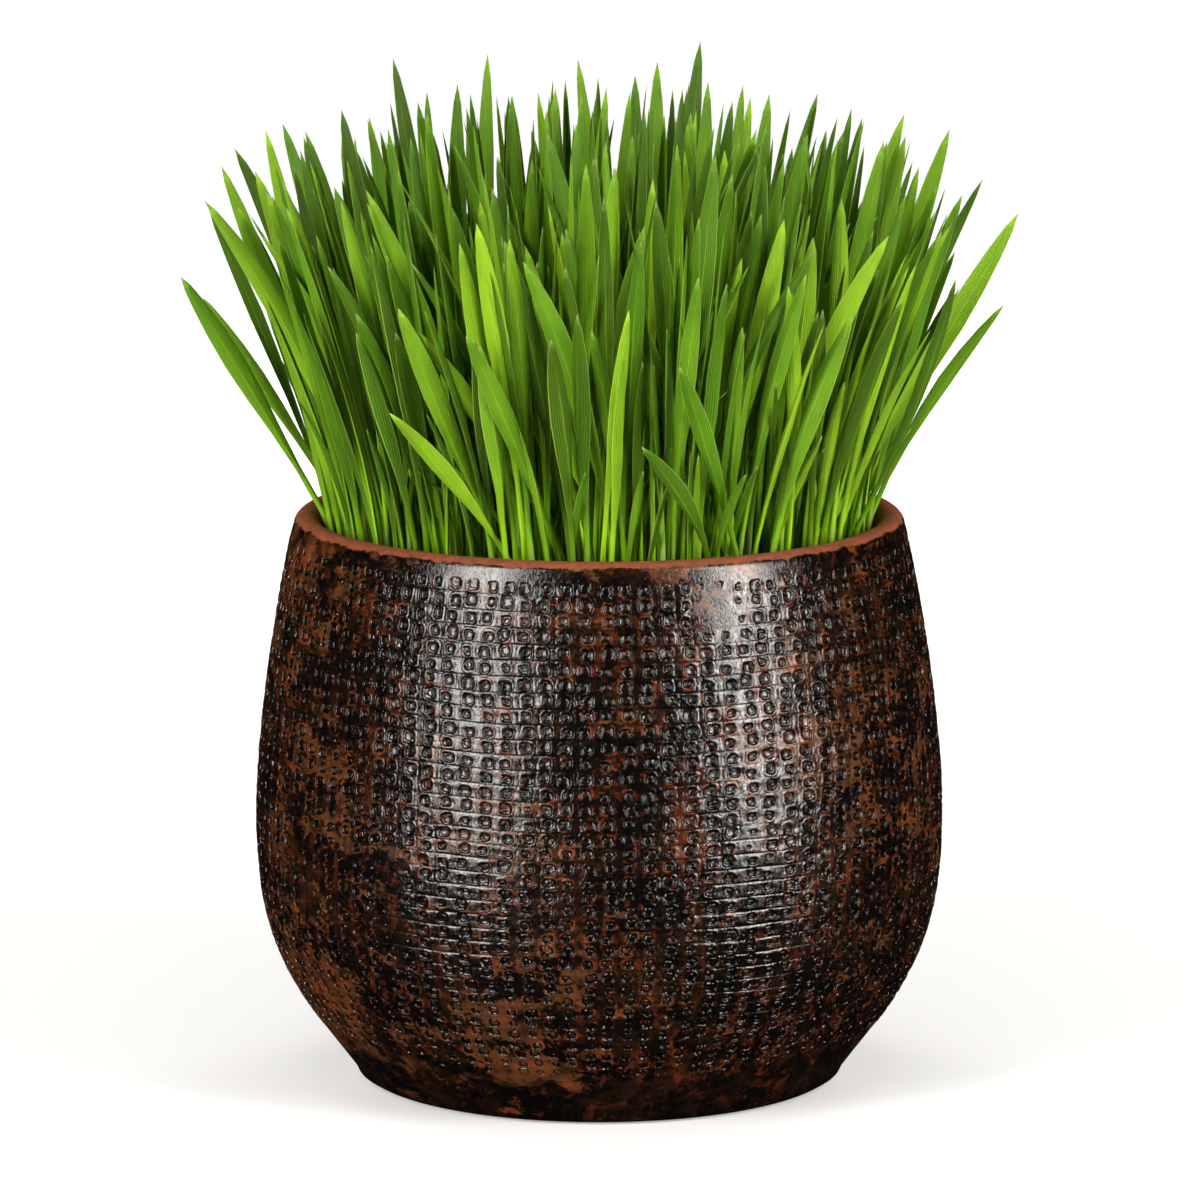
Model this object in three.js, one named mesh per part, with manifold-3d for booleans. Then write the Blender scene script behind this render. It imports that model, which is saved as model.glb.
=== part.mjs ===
// Potted cat grass: a bellied clay planter, hammered and dark glazed outside, filled with
// potting soil that holds a dense stand of young cereal grass.
// Millimetres, +Z up. The origin is the centre of the planter's flat foot, and -Y is the
// side that the grass was looked at from.

import * as THREE from "three";
import { mergeVertices } from "three/addons/utils/BufferGeometryUtils.js";
import Module from "manifold-3d";

const wasm = await Module();
wasm.setup();

// Planter: outside radii and the heights where they are reached
const POT = {
  footRadius: 62,
  heelRadius: 67.9,
  heelHeight: 3,
  heelLean: 0.72, // outward run for each millimetre of rise, just above the heel
  bellyRadius: 95,
  bellyHeight: 72,
  rimRadius: 84.1,
  rimHeight: 154,
  height: 157.2,
  wall: 7.2,
  floor: 9,
  footEase: { share: 0.62, height: 0.7 }, // a corner between foot and heel that rounds them off
  heelPull: 18.9, // how far each end of the outline's two curves runs straight
  underBellyPull: 38.9,
  overBellyPull: 27.9,
  rimPull: 3,
  sides: 60,
  outerSteps: 7, // straight pieces that stand for each curve, outside and inside
  innerSteps: 4,
  lipSteps: 5,
  leastStep: 1, // between two rings of the profile
};

// Soil, up to a finger's width under the rim
const SOIL = { top: 146, gap: 0.4, edgeRound: 0.8 };

// Crowns: the knots of roots and seed that the blades grow from, in rings in the soil
const CROWN = {
  radius: 9.8,
  toeRadius: 9.2,
  depth: 13,
  proud: 0.4, // how far a crown stands above the soil
  sides: 8,
  gap: 0.35, // between a crown and its hole in the soil
  rings: 3,
  ringPitch: 22,
  perRing: 6, // crowns in the first ring; the second has twice as many, and so on
};
const CROWN_TOP = SOIL.top + CROWN.proud;

// Blades: how many, how wide, how thick, and how they spread
const BLADES = {
  perInnerCrown: 10,
  perOuterCrown: 13,
  footSpread: 7.6, // farthest foot from its crown's centre
  rootDepth: 4,
  rootWidth: 2.3,
  narrowest: 4.4,
  widest: 7.2,
  keel: 0.95, // thickness along the middle rib
  fan: 1.36, // a tip's distance from the axis against its foot's
  stray: 9, // how far a tip wanders off its even place
  shortest: 0.66, // of the canopy's height
  lean: 0.4, // share of the way out that a blade has gone half way up
  twist: 0.7, // radians from foot to tip, either way
  clearance: 1.3, // between the middle planes of two neighbouring blades
  tries: 60,
  tallBias: 1.8, // above 1, more blades are tall than short
  narrowBias: 1.3, // above 1, more blades are narrow than wide
  levelStep: 2.5, // between the level slices that neighbours are compared at
  seed: 2026,
};

// The canopy that the tips reach: full height in the middle, falling away to the sides
const CANOPY = { base: 143, height: 130, radius: 131, reach: 99, edge: 0.97, squareness: 4 };

// Where a blade's width is set, along it from the soil, as a share of its full width
const STATIONS = [
  { along: 0.3, width: 0.58 },
  { along: 0.62, width: 1 },
  { along: 0.86, width: 0.76 },
];

// The blades that lead the outline and those that lie in front. Each has the place of its tip,
// how far across its middle is, the place of its foot, its full width, and how far its face is
// turned from the front, in degrees.
const LEADERS = [
  // left edge, from the lowest up
  { tip: [-114, -12, 224], mid: -91, foot: [-70, -5], width: 6.4, turn: 8 },
  { tip: [-109, 5, 216], mid: -85, foot: [-63, 0], width: 4.6, turn: -15 },
  { tip: [-107, 9, 239], mid: -87, foot: [-72, 5], width: 4.4, turn: 20 },
  { tip: [-107, -20, 246], mid: -78, foot: [-64, -14], width: 6.0, turn: 5 },
  { tip: [-104, 15, 251], mid: -85, foot: [-71, 12], width: 5.8, turn: -10 },
  { tip: [-101, 30, 254], mid: -78, foot: [-68, 22], width: 6.4, turn: 12 },
  { tip: [-92, 25, 260], mid: -79, foot: [-67, 20], width: 5.4, turn: 5 },
  { tip: [-88, 38, 260], mid: -72, foot: [-62, 28], width: 6.2, turn: -12 },
  // right edge, from the lowest up
  { tip: [111, -2, 215], mid: 86, foot: [72, -6], width: 4.4, turn: 15 },
  { tip: [114, -10, 241], mid: 85, foot: [55, -24], width: 6.8, turn: 0 },
  { tip: [96, -37, 227], mid: 83, foot: [64, -30], width: 4.4, turn: 20 },
  { tip: [100, 15, 243], mid: 82, foot: [70, 8], width: 5.6, turn: -10 },
  { tip: [106, 25, 246], mid: 82, foot: [64, 18], width: 4.6, turn: 18 },
  { tip: [96, 8, 262], mid: 78, foot: [62, 4], width: 6.6, turn: 6 },
  { tip: [84, 18, 265], mid: 64, foot: [48, 12], width: 6.2, turn: -8 },
  // tall ones along the top, from left to right
  { tip: [-81, 20, 260], mid: -66, foot: [-58, 14], width: 5.6, turn: 10 },
  { tip: [-71, 20, 266], mid: -62, foot: [-54, 12], width: 6.4, turn: 0 },
  { tip: [-57, 30, 279], mid: -47, foot: [-42, 22], width: 6.0, turn: 10 },
  { tip: [-48, 45, 268], mid: -45, foot: [-42, 32], width: 4.6, turn: -10 },
  { tip: [-39, 20, 273], mid: -39, foot: [-37, 14], width: 6.0, turn: 0 },
  { tip: [-31, 40, 279], mid: -32, foot: [-29, 28], width: 5.6, turn: 12 },
  { tip: [-24, 50, 264], mid: -21, foot: [-19, 36], width: 5.6, turn: -8 },
  { tip: [-12, 30, 270], mid: -11, foot: [-10, 20], width: 5.6, turn: 0 },
  { tip: [-6, 46, 277], mid: 0, foot: [2, 32], width: 5.4, turn: 10 },
  { tip: [2, 20, 272], mid: -2, foot: [-3, 14], width: 5.2, turn: -12 },
  { tip: [10, 50, 272], mid: 9, foot: [8, 36], width: 6.2, turn: 5 },
  { tip: [16, 22, 279], mid: 14, foot: [12, 14], width: 6.2, turn: 0 },
  { tip: [28, 36, 283], mid: 22, foot: [19, 24], width: 6.6, turn: -6 },
  { tip: [30, 26, 273], mid: 27, foot: [24, 18], width: 6.0, turn: 10 },
  { tip: [42, 40, 267], mid: 36, foot: [30, 28], width: 5.4, turn: -15 },
  { tip: [47, 30, 269], mid: 40, foot: [34, 22], width: 6.6, turn: 0 },
  { tip: [61, 50, 267], mid: 45, foot: [36, 36], width: 5.6, turn: 10 },
  { tip: [63, 30, 259], mid: 52, foot: [44, 22], width: 5.6, turn: -10 },
  // front, leaning to the left
  { tip: [-55, -98, 200], mid: -35, foot: [-20, -61], width: 6.2, turn: -6 },
  { tip: [-53, -88, 226], mid: -38, foot: [-23, -62], width: 6.8, turn: 0 },
  { tip: [-48, -80, 219], mid: -25, foot: [-11, -52], width: 5.6, turn: 12 },
  { tip: [-35, -94, 220], mid: -20, foot: [-8, -66], width: 6.2, turn: 6 },
  { tip: [-72, -70, 235], mid: -50, foot: [-35, -50], width: 5.8, turn: -12 },
  { tip: [-71, -45, 253], mid: -52, foot: [-32, -44], width: 7.2, turn: 4 },
  { tip: [-62, -60, 254], mid: -41, foot: [-28, -46], width: 6.4, turn: -8 },
  { tip: [-40, -56, 249], mid: -30, foot: [-26, -46], width: 7.0, turn: 6 },
  { tip: [-32, -44, 249], mid: -26, foot: [-22, -38], width: 6.0, turn: -5 },
  { tip: [-25, -80, 243], mid: -14, foot: [-9, -60], width: 7.2, turn: 0 },
  { tip: [-20, -90, 239], mid: -3, foot: [4, -66], width: 7.2, turn: -4 },
  { tip: [-9, -62, 244], mid: 0, foot: [6, -50], width: 6.4, turn: 10 },
  { tip: [-2, -92, 221], mid: 4, foot: [11, -67], width: 4.8, turn: 5 },
  { tip: [11, -104, 192], mid: 25, foot: [33, -60], width: 5.6, turn: 5 },
  { tip: [10, -62, 222], mid: 20, foot: [24, -46], width: 5.0, turn: -10 },
  { tip: [21, -96, 212], mid: 31, foot: [37, -60], width: 5.8, turn: -5 },
  // front, upright or leaning to the right
  { tip: [15, -78, 253], mid: 20, foot: [27, -61], width: 6.6, turn: 4 },
  { tip: [49, -76, 247], mid: 39, foot: [33, -58], width: 6.8, turn: 0 },
  { tip: [57, -58, 241], mid: 52, foot: [48, -46], width: 7.2, turn: -5 },
  { tip: [77, -62, 242], mid: 55, foot: [46, -50], width: 6.6, turn: 0 },
  { tip: [65, -40, 249], mid: 63, foot: [57, -34], width: 6.0, turn: 8 },
  { tip: [28, -40, 245], mid: 21, foot: [18, -34], width: 6.2, turn: 8 },
  { tip: [12, -66, 245], mid: 3, foot: [-1, -58], width: 6.6, turn: -6 },
  { tip: [31, -56, 225], mid: 24, foot: [20, -44], width: 5.6, turn: 10 },
  { tip: [38, -62, 236], mid: 31, foot: [30, -48], width: 5.6, turn: -12 },
  { tip: [38, -66, 219], mid: 35, foot: [34, -52], width: 5.0, turn: 6 },
  { tip: [50, -72, 230], mid: 52, foot: [50, -53], width: 4.8, turn: 12 },
  // standing behind those, in the middle of the stand
  { tip: [-45, -26, 258], mid: -35, foot: [-26, -24], width: 6.6, turn: 6 },
  { tip: [-14, -26, 265], mid: -3, foot: [-1, -22], width: 6.2, turn: 0 },
  { tip: [2, -22, 258], mid: -4, foot: [-6, -20], width: 5.6, turn: -10 },
  { tip: [9, -6, 262], mid: 8, foot: [8, -6], width: 6.0, turn: 10 },
  { tip: [25, 4, 267], mid: 22, foot: [19, 2], width: 6.6, turn: 0 },
  { tip: [34, -14, 259], mid: 32, foot: [28, -12], width: 6.4, turn: -6 },
  { tip: [54, -8, 255], mid: 47, foot: [39, -8], width: 6.4, turn: 8 },
];

// How far a leader may stand forward or back of its place to be clear of the others
const LEADER_SHIFTS = [0, 3, -3, 6, -6, 9, -9, 12, -12];

const COLOURS = { glaze: 0x2a1d16, soil: 0x2b1d14, lightGreen: 0x6aa526, deepGreen: 0x3f7f1c };
const ROUGHNESS = { glaze: 0.35, soil: 0.95, grass: 0.55 };

// Corners nearer than this are one
const SAME_CORNER = 1e-4;

// The turn from one foot to the next on a spiral of evenly spread places
const SPIRAL_TURN = Math.PI * (3 - Math.sqrt(5));

// The multiplier and the prime of the seeded stream of numbers
const STREAM = { multiplier: 48271, prime: 2147483647 };

// Shapes in general

// A seeded stream of numbers from 0 to 1, the same on every run
function seededRandom(seed) {
  let state = seed;
  return () => {
    state = (state * STREAM.multiplier) % STREAM.prime;
    return state / STREAM.prime;
  };
}

// A closed body turned about +Z from a profile of [radius, height] points, axis to axis
function turned(profile) {
  const points = profile.map(([radius, height]) => new THREE.Vector2(radius, height));
  return new THREE.LatheGeometry(points, POT.sides).rotateX(Math.PI / 2);
}

function solidOf(geometry) {
  const bare = geometry.clone().deleteAttribute("normal").deleteAttribute("uv");
  const merged = mergeVertices(bare, SAME_CORNER);
  const vertProperties = merged.attributes.position.array;
  const triVerts = new Uint32Array(merged.index.array);
  return new wasm.Manifold(new wasm.Mesh({ numProp: 3, vertProperties, triVerts }));
}

function geometryOf(solid) {
  const mesh = solid.getMesh();
  const positions = new THREE.BufferAttribute(new Float32Array(mesh.vertProperties), 3);
  const geometry = new THREE.BufferGeometry().setAttribute("position", positions);
  geometry.setIndex(new THREE.BufferAttribute(new Uint32Array(mesh.triVerts), 1));
  geometry.computeVertexNormals();
  return geometry;
}

function named(name, geometry, material) {
  const mesh = new THREE.Mesh(geometry, material);
  mesh.name = name;
  return mesh;
}

// Planter and soil

// The outside of the planter's body, from heel to rim, as two curves that meet at the belly
function outsideCurves() {
  const at = (radius, height) => new THREE.Vector2(radius, height);
  const heel = at(POT.heelRadius, POT.heelHeight);
  const belly = at(POT.bellyRadius, POT.bellyHeight);
  const rim = at(POT.rimRadius, POT.rimHeight);
  return [
    new THREE.CubicBezierCurve(
      heel,
      at(heel.x + POT.heelLean * POT.heelPull, heel.y + POT.heelPull),
      at(belly.x, belly.y - POT.underBellyPull),
      belly,
    ),
    new THREE.CubicBezierCurve(
      belly,
      at(belly.x, belly.y + POT.overBellyPull),
      at(rim.x + POT.rimPull / 2, rim.y - POT.rimPull),
      rim,
    ),
  ];
}

// The wall's face at a depth inside the outer one, from the height `from` up to `to`
function wallAt(depth, from, to, steps) {
  const [low, high] = outsideCurves();
  const face = [low, high].flatMap((curve) =>
    Array.from({ length: steps }, (_, i) => {
      const share = (i + (curve === high ? 1 : 0)) / steps;
      const point = curve.getPoint(share);
      const tangent = curve.getTangent(share);
      return [point.x - tangent.y * depth, point.y + tangent.x * depth];
    }),
  );
  const radiusAt = (height) => {
    const next = face.findIndex(([, z]) => z > height);
    const [[r0, z0], [r1, z1]] = next < 0 ? face.slice(-2) : [face[next - 1], face[next]];
    return r0 + ((r1 - r0) * (height - z0)) / (z1 - z0);
  };
  const between = face.filter(([, z]) => z > from + POT.leastStep && z < to - POT.leastStep);
  return [[radiusAt(from), from], ...between, [radiusAt(to), to]];
}

// The rolled lip: a half round from the outer rim over to the inner edge
function lip(steps) {
  const halfWall = POT.wall / 2;
  const rise = POT.height - POT.rimHeight;
  return Array.from({ length: steps - 1 }, (_, i) => {
    const angle = (Math.PI * (i + 1)) / steps;
    const radius = POT.rimRadius - halfWall + halfWall * Math.cos(angle);
    return [radius, POT.rimHeight + rise * Math.sin(angle)];
  });
}

function planter() {
  const run = POT.heelRadius - POT.footRadius;
  const inside = wallAt(POT.wall, POT.floor, POT.rimHeight, POT.innerSteps).reverse();
  return turned([
    [0, 0],
    [POT.footRadius, 0],
    [POT.footRadius + run * POT.footEase.share, POT.footEase.height],
    ...wallAt(0, POT.heelHeight, POT.rimHeight, POT.outerSteps),
    ...lip(POT.lipSteps),
    ...inside,
    [0, POT.floor],
  ]);
}

function soil(crowns) {
  const under = POT.floor + SOIL.gap;
  const shoulder = SOIL.top - SOIL.edgeRound;
  const wall = wallAt(POT.wall + SOIL.gap, under, shoulder, POT.innerSteps);
  const topRadius = wall[wall.length - 1][0] - SOIL.edgeRound;
  const filled = solidOf(turned([[0, under], ...wall, [topRadius, SOIL.top], [0, SOIL.top]]));
  return crowns.reduce((left, crown) => left.subtract(crownHole(crown)), filled);
}

// Crowns

// The middle of each crown, ring by ring
function crownCentres() {
  const centres = [{ ring: 0, x: 0, y: 0 }];
  for (let ring = 1; ring <= CROWN.rings; ring += 1) {
    const count = CROWN.perRing * ring;
    for (let i = 0; i < count; i += 1) {
      const angle = (2 * Math.PI * (i + ring / 2)) / count;
      const radius = ring * CROWN.ringPitch;
      centres.push({ ring, x: radius * Math.cos(angle), y: radius * Math.sin(angle) });
    }
  }
  return centres;
}

// An upright octagonal body under the crown's top, its own height above that included
function octagon(crown, topRadius, toeRadius, depth, above) {
  const body = new THREE.CylinderGeometry(topRadius, toeRadius, depth + above, CROWN.sides);
  body.rotateX(Math.PI / 2);
  return solidOf(body.translate(crown.x, crown.y, CROWN_TOP + (above - depth) / 2));
}

function crownPlug(crown) {
  return octagon(crown, CROWN.radius, CROWN.toeRadius, CROWN.depth, 0);
}

// The straight hole that a crown stands in, cut right through the soil's surface
function crownHole(crown) {
  const radius = CROWN.radius + CROWN.gap;
  return octagon(crown, radius, radius, CROWN.depth + CROWN.gap, CROWN.gap + CROWN.proud);
}

// Blades

// How high tips may reach at a distance from the axis
function canopyHeight(distance) {
  const share = Math.min(distance / CANOPY.radius, CANOPY.edge);
  return CANOPY.base + CANOPY.height * Math.sqrt(1 - share ** CANOPY.squareness);
}

// A blade as level sections from its foot to its last station, and a tip. Half way up it goes
// through `mid`, and its width direction turns by `twist` from foot to tip.
function bladeThrough(foot, mid, tip, width, facing, twist) {
  const rise = tip.z - CROWN_TOP;
  const bend = new THREE.QuadraticBezierCurve3(
    new THREE.Vector3(foot.x, foot.y, CROWN_TOP),
    new THREE.Vector3(
      2 * mid.x - (foot.x + tip.x) / 2,
      2 * mid.y - (foot.y + tip.y) / 2,
      CROWN_TOP + rise / 2,
    ),
    new THREE.Vector3(tip.x, tip.y, tip.z),
  );
  const section = (along, fullWidth) => {
    const middle = bend.getPoint(along);
    const angle = facing + twist * along;
    return { middle, across: [Math.cos(angle), Math.sin(angle)], half: fullWidth / 2 };
  };
  const sections = [
    section(0, BLADES.rootWidth),
    ...STATIONS.map((station) => section(station.along, station.width * width)),
  ];
  return { sections, tip: bend.getPoint(1), levels: levelSlices(sections, bend.getPoint(1)) };
}

// The blade's level slices from the crown upwards, as two end points each
function levelSlices(sections, tip) {
  const stops = [...sections, { middle: tip, across: sections.at(-1).across, half: 0 }];
  const ends = stops.map(({ middle, across, half }) => [
    [middle.x - across[0] * half, middle.y - across[1] * half],
    [middle.x + across[0] * half, middle.y + across[1] * half],
  ]);
  const slices = [];
  for (let i = 0; CROWN_TOP + i * BLADES.levelStep < tip.z; i += 1) {
    const z = CROWN_TOP + i * BLADES.levelStep;
    const next = stops.findIndex(({ middle }) => middle.z > z);
    const low = stops[next - 1].middle.z;
    const share = (z - low) / (stops[next].middle.z - low);
    const mix = (a, b) => a.map((value, k) => value + (b[k] - value) * share);
    slices.push([mix(ends[next - 1][0], ends[next][0]), mix(ends[next - 1][1], ends[next][1])]);
  }
  return slices;
}

function pointToSegment([px, py], [[ax, ay], [bx, by]]) {
  const [dx, dy] = [bx - ax, by - ay];
  const along = ((px - ax) * dx + (py - ay) * dy) / (dx * dx + dy * dy || 1);
  const share = Math.min(1, Math.max(0, along));
  return Math.hypot(ax + dx * share - px, ay + dy * share - py);
}

function segmentGap(one, other) {
  const side = ([[ax, ay], [bx, by]], [px, py]) => (bx - ax) * (py - ay) - (by - ay) * (px - ax);
  const crossed =
    side(one, other[0]) * side(one, other[1]) < 0 && side(other, one[0]) * side(other, one[1]) < 0;
  if (crossed) return 0;
  return Math.min(
    ...one.map((end) => pointToSegment(end, other)),
    ...other.map((end) => pointToSegment(end, one)),
  );
}

function clearOf(blade, neighbour) {
  const shared = Math.min(blade.levels.length, neighbour.levels.length);
  for (let i = 0; i < shared; i += 1) {
    const [[ax, ay]] = blade.levels[i];
    const [[bx, by]] = neighbour.levels[i];
    if (Math.hypot(ax - bx, ay - by) > 2 * BLADES.widest + BLADES.clearance) continue;
    if (segmentGap(blade.levels[i], neighbour.levels[i]) < BLADES.clearance) return false;
  }
  return true;
}

// The mouth's radius at a height: it opens over the lip's half round
function mouthRadius(height) {
  const inner = POT.rimRadius - POT.wall;
  const share = Math.max(0, height - POT.rimHeight) / (POT.height - POT.rimHeight);
  return inner + (POT.wall / 2) * (1 - Math.sqrt(1 - Math.min(1, share) ** 2));
}

// A blade keeps off the wall and the lip until it is over the pot
function clearOfMouth(blade) {
  return blade.levels.every((slice, i) => {
    const height = CROWN_TOP + i * BLADES.levelStep;
    const limit = mouthRadius(height) - BLADES.clearance;
    return height > POT.height || slice.every(([x, y]) => Math.hypot(x, y) < limit);
  });
}

// The turn of a blade's width that puts its ribbed underside outwards
function keelOutwards(facing, x, y) {
  return -Math.sin(facing) * x + Math.cos(facing) * y < 0 ? facing + Math.PI : facing;
}

// A leader's blade, rooted in the crown nearest to its foot
function leaderBlade({ tip, mid, foot, width, turn }, crown, shift) {
  const wanted = [foot[0], foot[1] + shift];
  const away = Math.hypot(wanted[0] - crown.x, wanted[1] - crown.y);
  const pull = Math.min(1, BLADES.footSpread / away);
  const feet = {
    x: crown.x + (wanted[0] - crown.x) * pull,
    y: crown.y + (wanted[1] - crown.y) * pull,
  };
  const end = { x: tip[0], y: tip[1] + shift, z: tip[2] };
  const middle = { x: mid, y: feet.y + (end.y - feet.y) * BLADES.lean };
  const facing = keelOutwards(THREE.MathUtils.degToRad(turn), end.x - feet.x, end.y - feet.y);
  return bladeThrough(feet, middle, end, width, facing, 0);
}

// One more blade for a crown, its foot on a spiral of even places and its tip by chance
function chanceBlade(crown, place, places, random) {
  const turn = place * SPIRAL_TURN + crown.x;
  const out = BLADES.footSpread * Math.sqrt((place + 0.5) / places);
  const foot = { x: crown.x + out * Math.cos(turn), y: crown.y + out * Math.sin(turn) };
  const wander = BLADES.stray * Math.sqrt(random());
  const heading = 2 * Math.PI * random();
  let x = foot.x * BLADES.fan + wander * Math.cos(heading);
  let y = foot.y * BLADES.fan + wander * Math.sin(heading);
  const inside = Math.min(1, CANOPY.reach / Math.hypot(x, y));
  x *= inside;
  y *= inside;
  const share = 1 - (1 - BLADES.shortest) * random() ** BLADES.tallBias;
  const z = CANOPY.base + (canopyHeight(Math.hypot(x, y)) - CANOPY.base) * share;
  const spare = BLADES.widest - BLADES.narrowest;
  const width = BLADES.narrowest + spare * random() ** BLADES.narrowBias;
  const tangential = Math.atan2(y, x) + Math.PI / 2;
  const facing = keelOutwards(tangential + (random() - 0.5) * Math.PI, x, y);
  const mid = {
    x: foot.x + (x - foot.x) * BLADES.lean,
    y: foot.y + (y - foot.y) * BLADES.lean,
  };
  return bladeThrough(foot, mid, { x, y, z }, width, facing, BLADES.twist * (2 * random() - 1));
}

// Every crown's blades: the leaders first, and then as many as find room
function growBlades(crowns) {
  const random = seededRandom(BLADES.seed);
  const grown = [];
  const add = (crown, blade) => {
    const fits = clearOfMouth(blade) && grown.every((other) => clearOf(blade, other));
    if (!fits) return false;
    grown.push(blade);
    crown.blades.push(blade);
    return true;
  };
  for (const leader of LEADERS) {
    const far = (crown) => Math.hypot(leader.foot[0] - crown.x, leader.foot[1] - crown.y);
    const crown = crowns.reduce((best, other) => (far(other) < far(best) ? other : best));
    LEADER_SHIFTS.some((shift) => add(crown, leaderBlade(leader, crown, shift)));
  }
  for (const crown of crowns) {
    const places = crown.ring === CROWN.rings ? BLADES.perOuterCrown : BLADES.perInnerCrown;
    for (let attempt = 0; attempt < places * BLADES.tries; attempt += 1) {
      if (crown.blades.length >= places) break;
      add(crown, chanceBlade(crown, attempt % places, places, random));
    }
  }
}

// A blade's solid: three-cornered level sections, the third corner on the middle rib
function bladeSolid({ sections, tip }) {
  const root = sections[0];
  const sunk = { ...root, middle: root.middle.clone().setZ(CROWN_TOP - BLADES.rootDepth) };
  const rings = [sunk, ...sections].map(({ middle, across: [x, y], half }) => [
    [middle.x - x * half, middle.y - y * half, middle.z],
    [middle.x + x * half, middle.y + y * half, middle.z],
    [middle.x - y * BLADES.keel, middle.y + x * BLADES.keel, middle.z],
  ]);
  const corners = [...rings.flat(), tip.toArray()];
  const faces = [[0, 2, 1]];
  for (let ring = 0; ring < rings.length; ring += 1) {
    for (let side = 0; side < 3; side += 1) {
      const [a, b] = [ring * 3 + side, ring * 3 + ((side + 1) % 3)];
      if (ring === rings.length - 1) faces.push([a, b, corners.length - 1]);
      else faces.push([a, b, b + 3], [a, b + 3, a + 3]);
    }
  }
  const geometry = new THREE.BufferGeometry();
  geometry.setAttribute("position", new THREE.Float32BufferAttribute(corners.flat(), 3));
  geometry.setIndex(faces.flat());
  return solidOf(geometry);
}

function tuft(crown) {
  return crown.blades.reduce((body, blade) => body.add(bladeSolid(blade)), crownPlug(crown));
}

// The whole

function finish(color, roughness) {
  return new THREE.MeshStandardMaterial({ color, roughness, metalness: 0 });
}

// Grass is a deeper green towards the edge of the stand
function grassFinish(crown) {
  const light = new THREE.Color(COLOURS.lightGreen);
  const deep = new THREE.Color(COLOURS.deepGreen);
  return finish(light.lerp(deep, crown.ring / CROWN.rings), ROUGHNESS.grass);
}

const crowns = crownCentres().map((centre) => ({ ...centre, blades: [] }));
growBlades(crowns);

const pottedGrass = new THREE.Group();
pottedGrass.add(named("pot", planter(), finish(COLOURS.glaze, ROUGHNESS.glaze)));
const earth = finish(COLOURS.soil, ROUGHNESS.soil);
pottedGrass.add(named("soil", geometryOf(soil(crowns)), earth));
crowns.forEach((crown, i) => {
  const name = `grass_tuft_${String(i + 1).padStart(2, "0")}`;
  pottedGrass.add(named(name, geometryOf(tuft(crown)), grassFinish(crown)));
});

export default pottedGrass;
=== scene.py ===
import logging
import math
from dataclasses import dataclass, field
from enum import Enum
from typing import Any, Mapping, Optional, Sequence, Union

import bpy
import numpy as np
from mathutils import Matrix, Vector


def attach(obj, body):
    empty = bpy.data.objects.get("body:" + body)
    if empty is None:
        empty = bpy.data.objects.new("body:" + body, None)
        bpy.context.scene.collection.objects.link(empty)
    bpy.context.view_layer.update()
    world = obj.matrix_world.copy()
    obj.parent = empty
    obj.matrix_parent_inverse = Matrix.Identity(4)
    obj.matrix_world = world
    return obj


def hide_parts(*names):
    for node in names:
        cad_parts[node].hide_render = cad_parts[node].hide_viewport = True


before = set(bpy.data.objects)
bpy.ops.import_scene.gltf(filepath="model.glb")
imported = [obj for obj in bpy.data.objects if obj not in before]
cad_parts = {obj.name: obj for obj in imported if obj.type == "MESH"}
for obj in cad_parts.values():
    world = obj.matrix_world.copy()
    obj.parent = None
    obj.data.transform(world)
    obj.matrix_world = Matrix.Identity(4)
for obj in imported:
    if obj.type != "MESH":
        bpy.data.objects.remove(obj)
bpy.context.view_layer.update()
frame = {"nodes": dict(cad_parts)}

LOG = logging.getLogger("potted_grass")
MM = 0.001
BODY = "root"
Colour = tuple[float, float, float, float]
Span = tuple[float, float]
Number = Union[float, "Wire"]


def paint(red: float, green: float, blue: float) -> Colour:
    """Turn a colour as a screen shows it, 0 to 255, into the linear colour a shader takes.

    Args:
        red: Red, 0 to 255.
        green: Green, 0 to 255.
        blue: Blue, 0 to 255.

    Returns:
        Linear red, green and blue, and an alpha of one.
    """
    linear = [((value / 255 + 0.055) / 1.055) ** 2.4 for value in (red, green, blue)]
    return (linear[0], linear[1], linear[2], 1.0)


# Node trees


@dataclass(frozen=True)
class Noise:
    """One kind of unevenness.

    It changes scale times in a metre, has detail finer layers of strength rough, and is
    distorted by warp.
    """

    scale: float
    detail: float = 2.0
    rough: float = 0.5
    warp: float = 0.0


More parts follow.
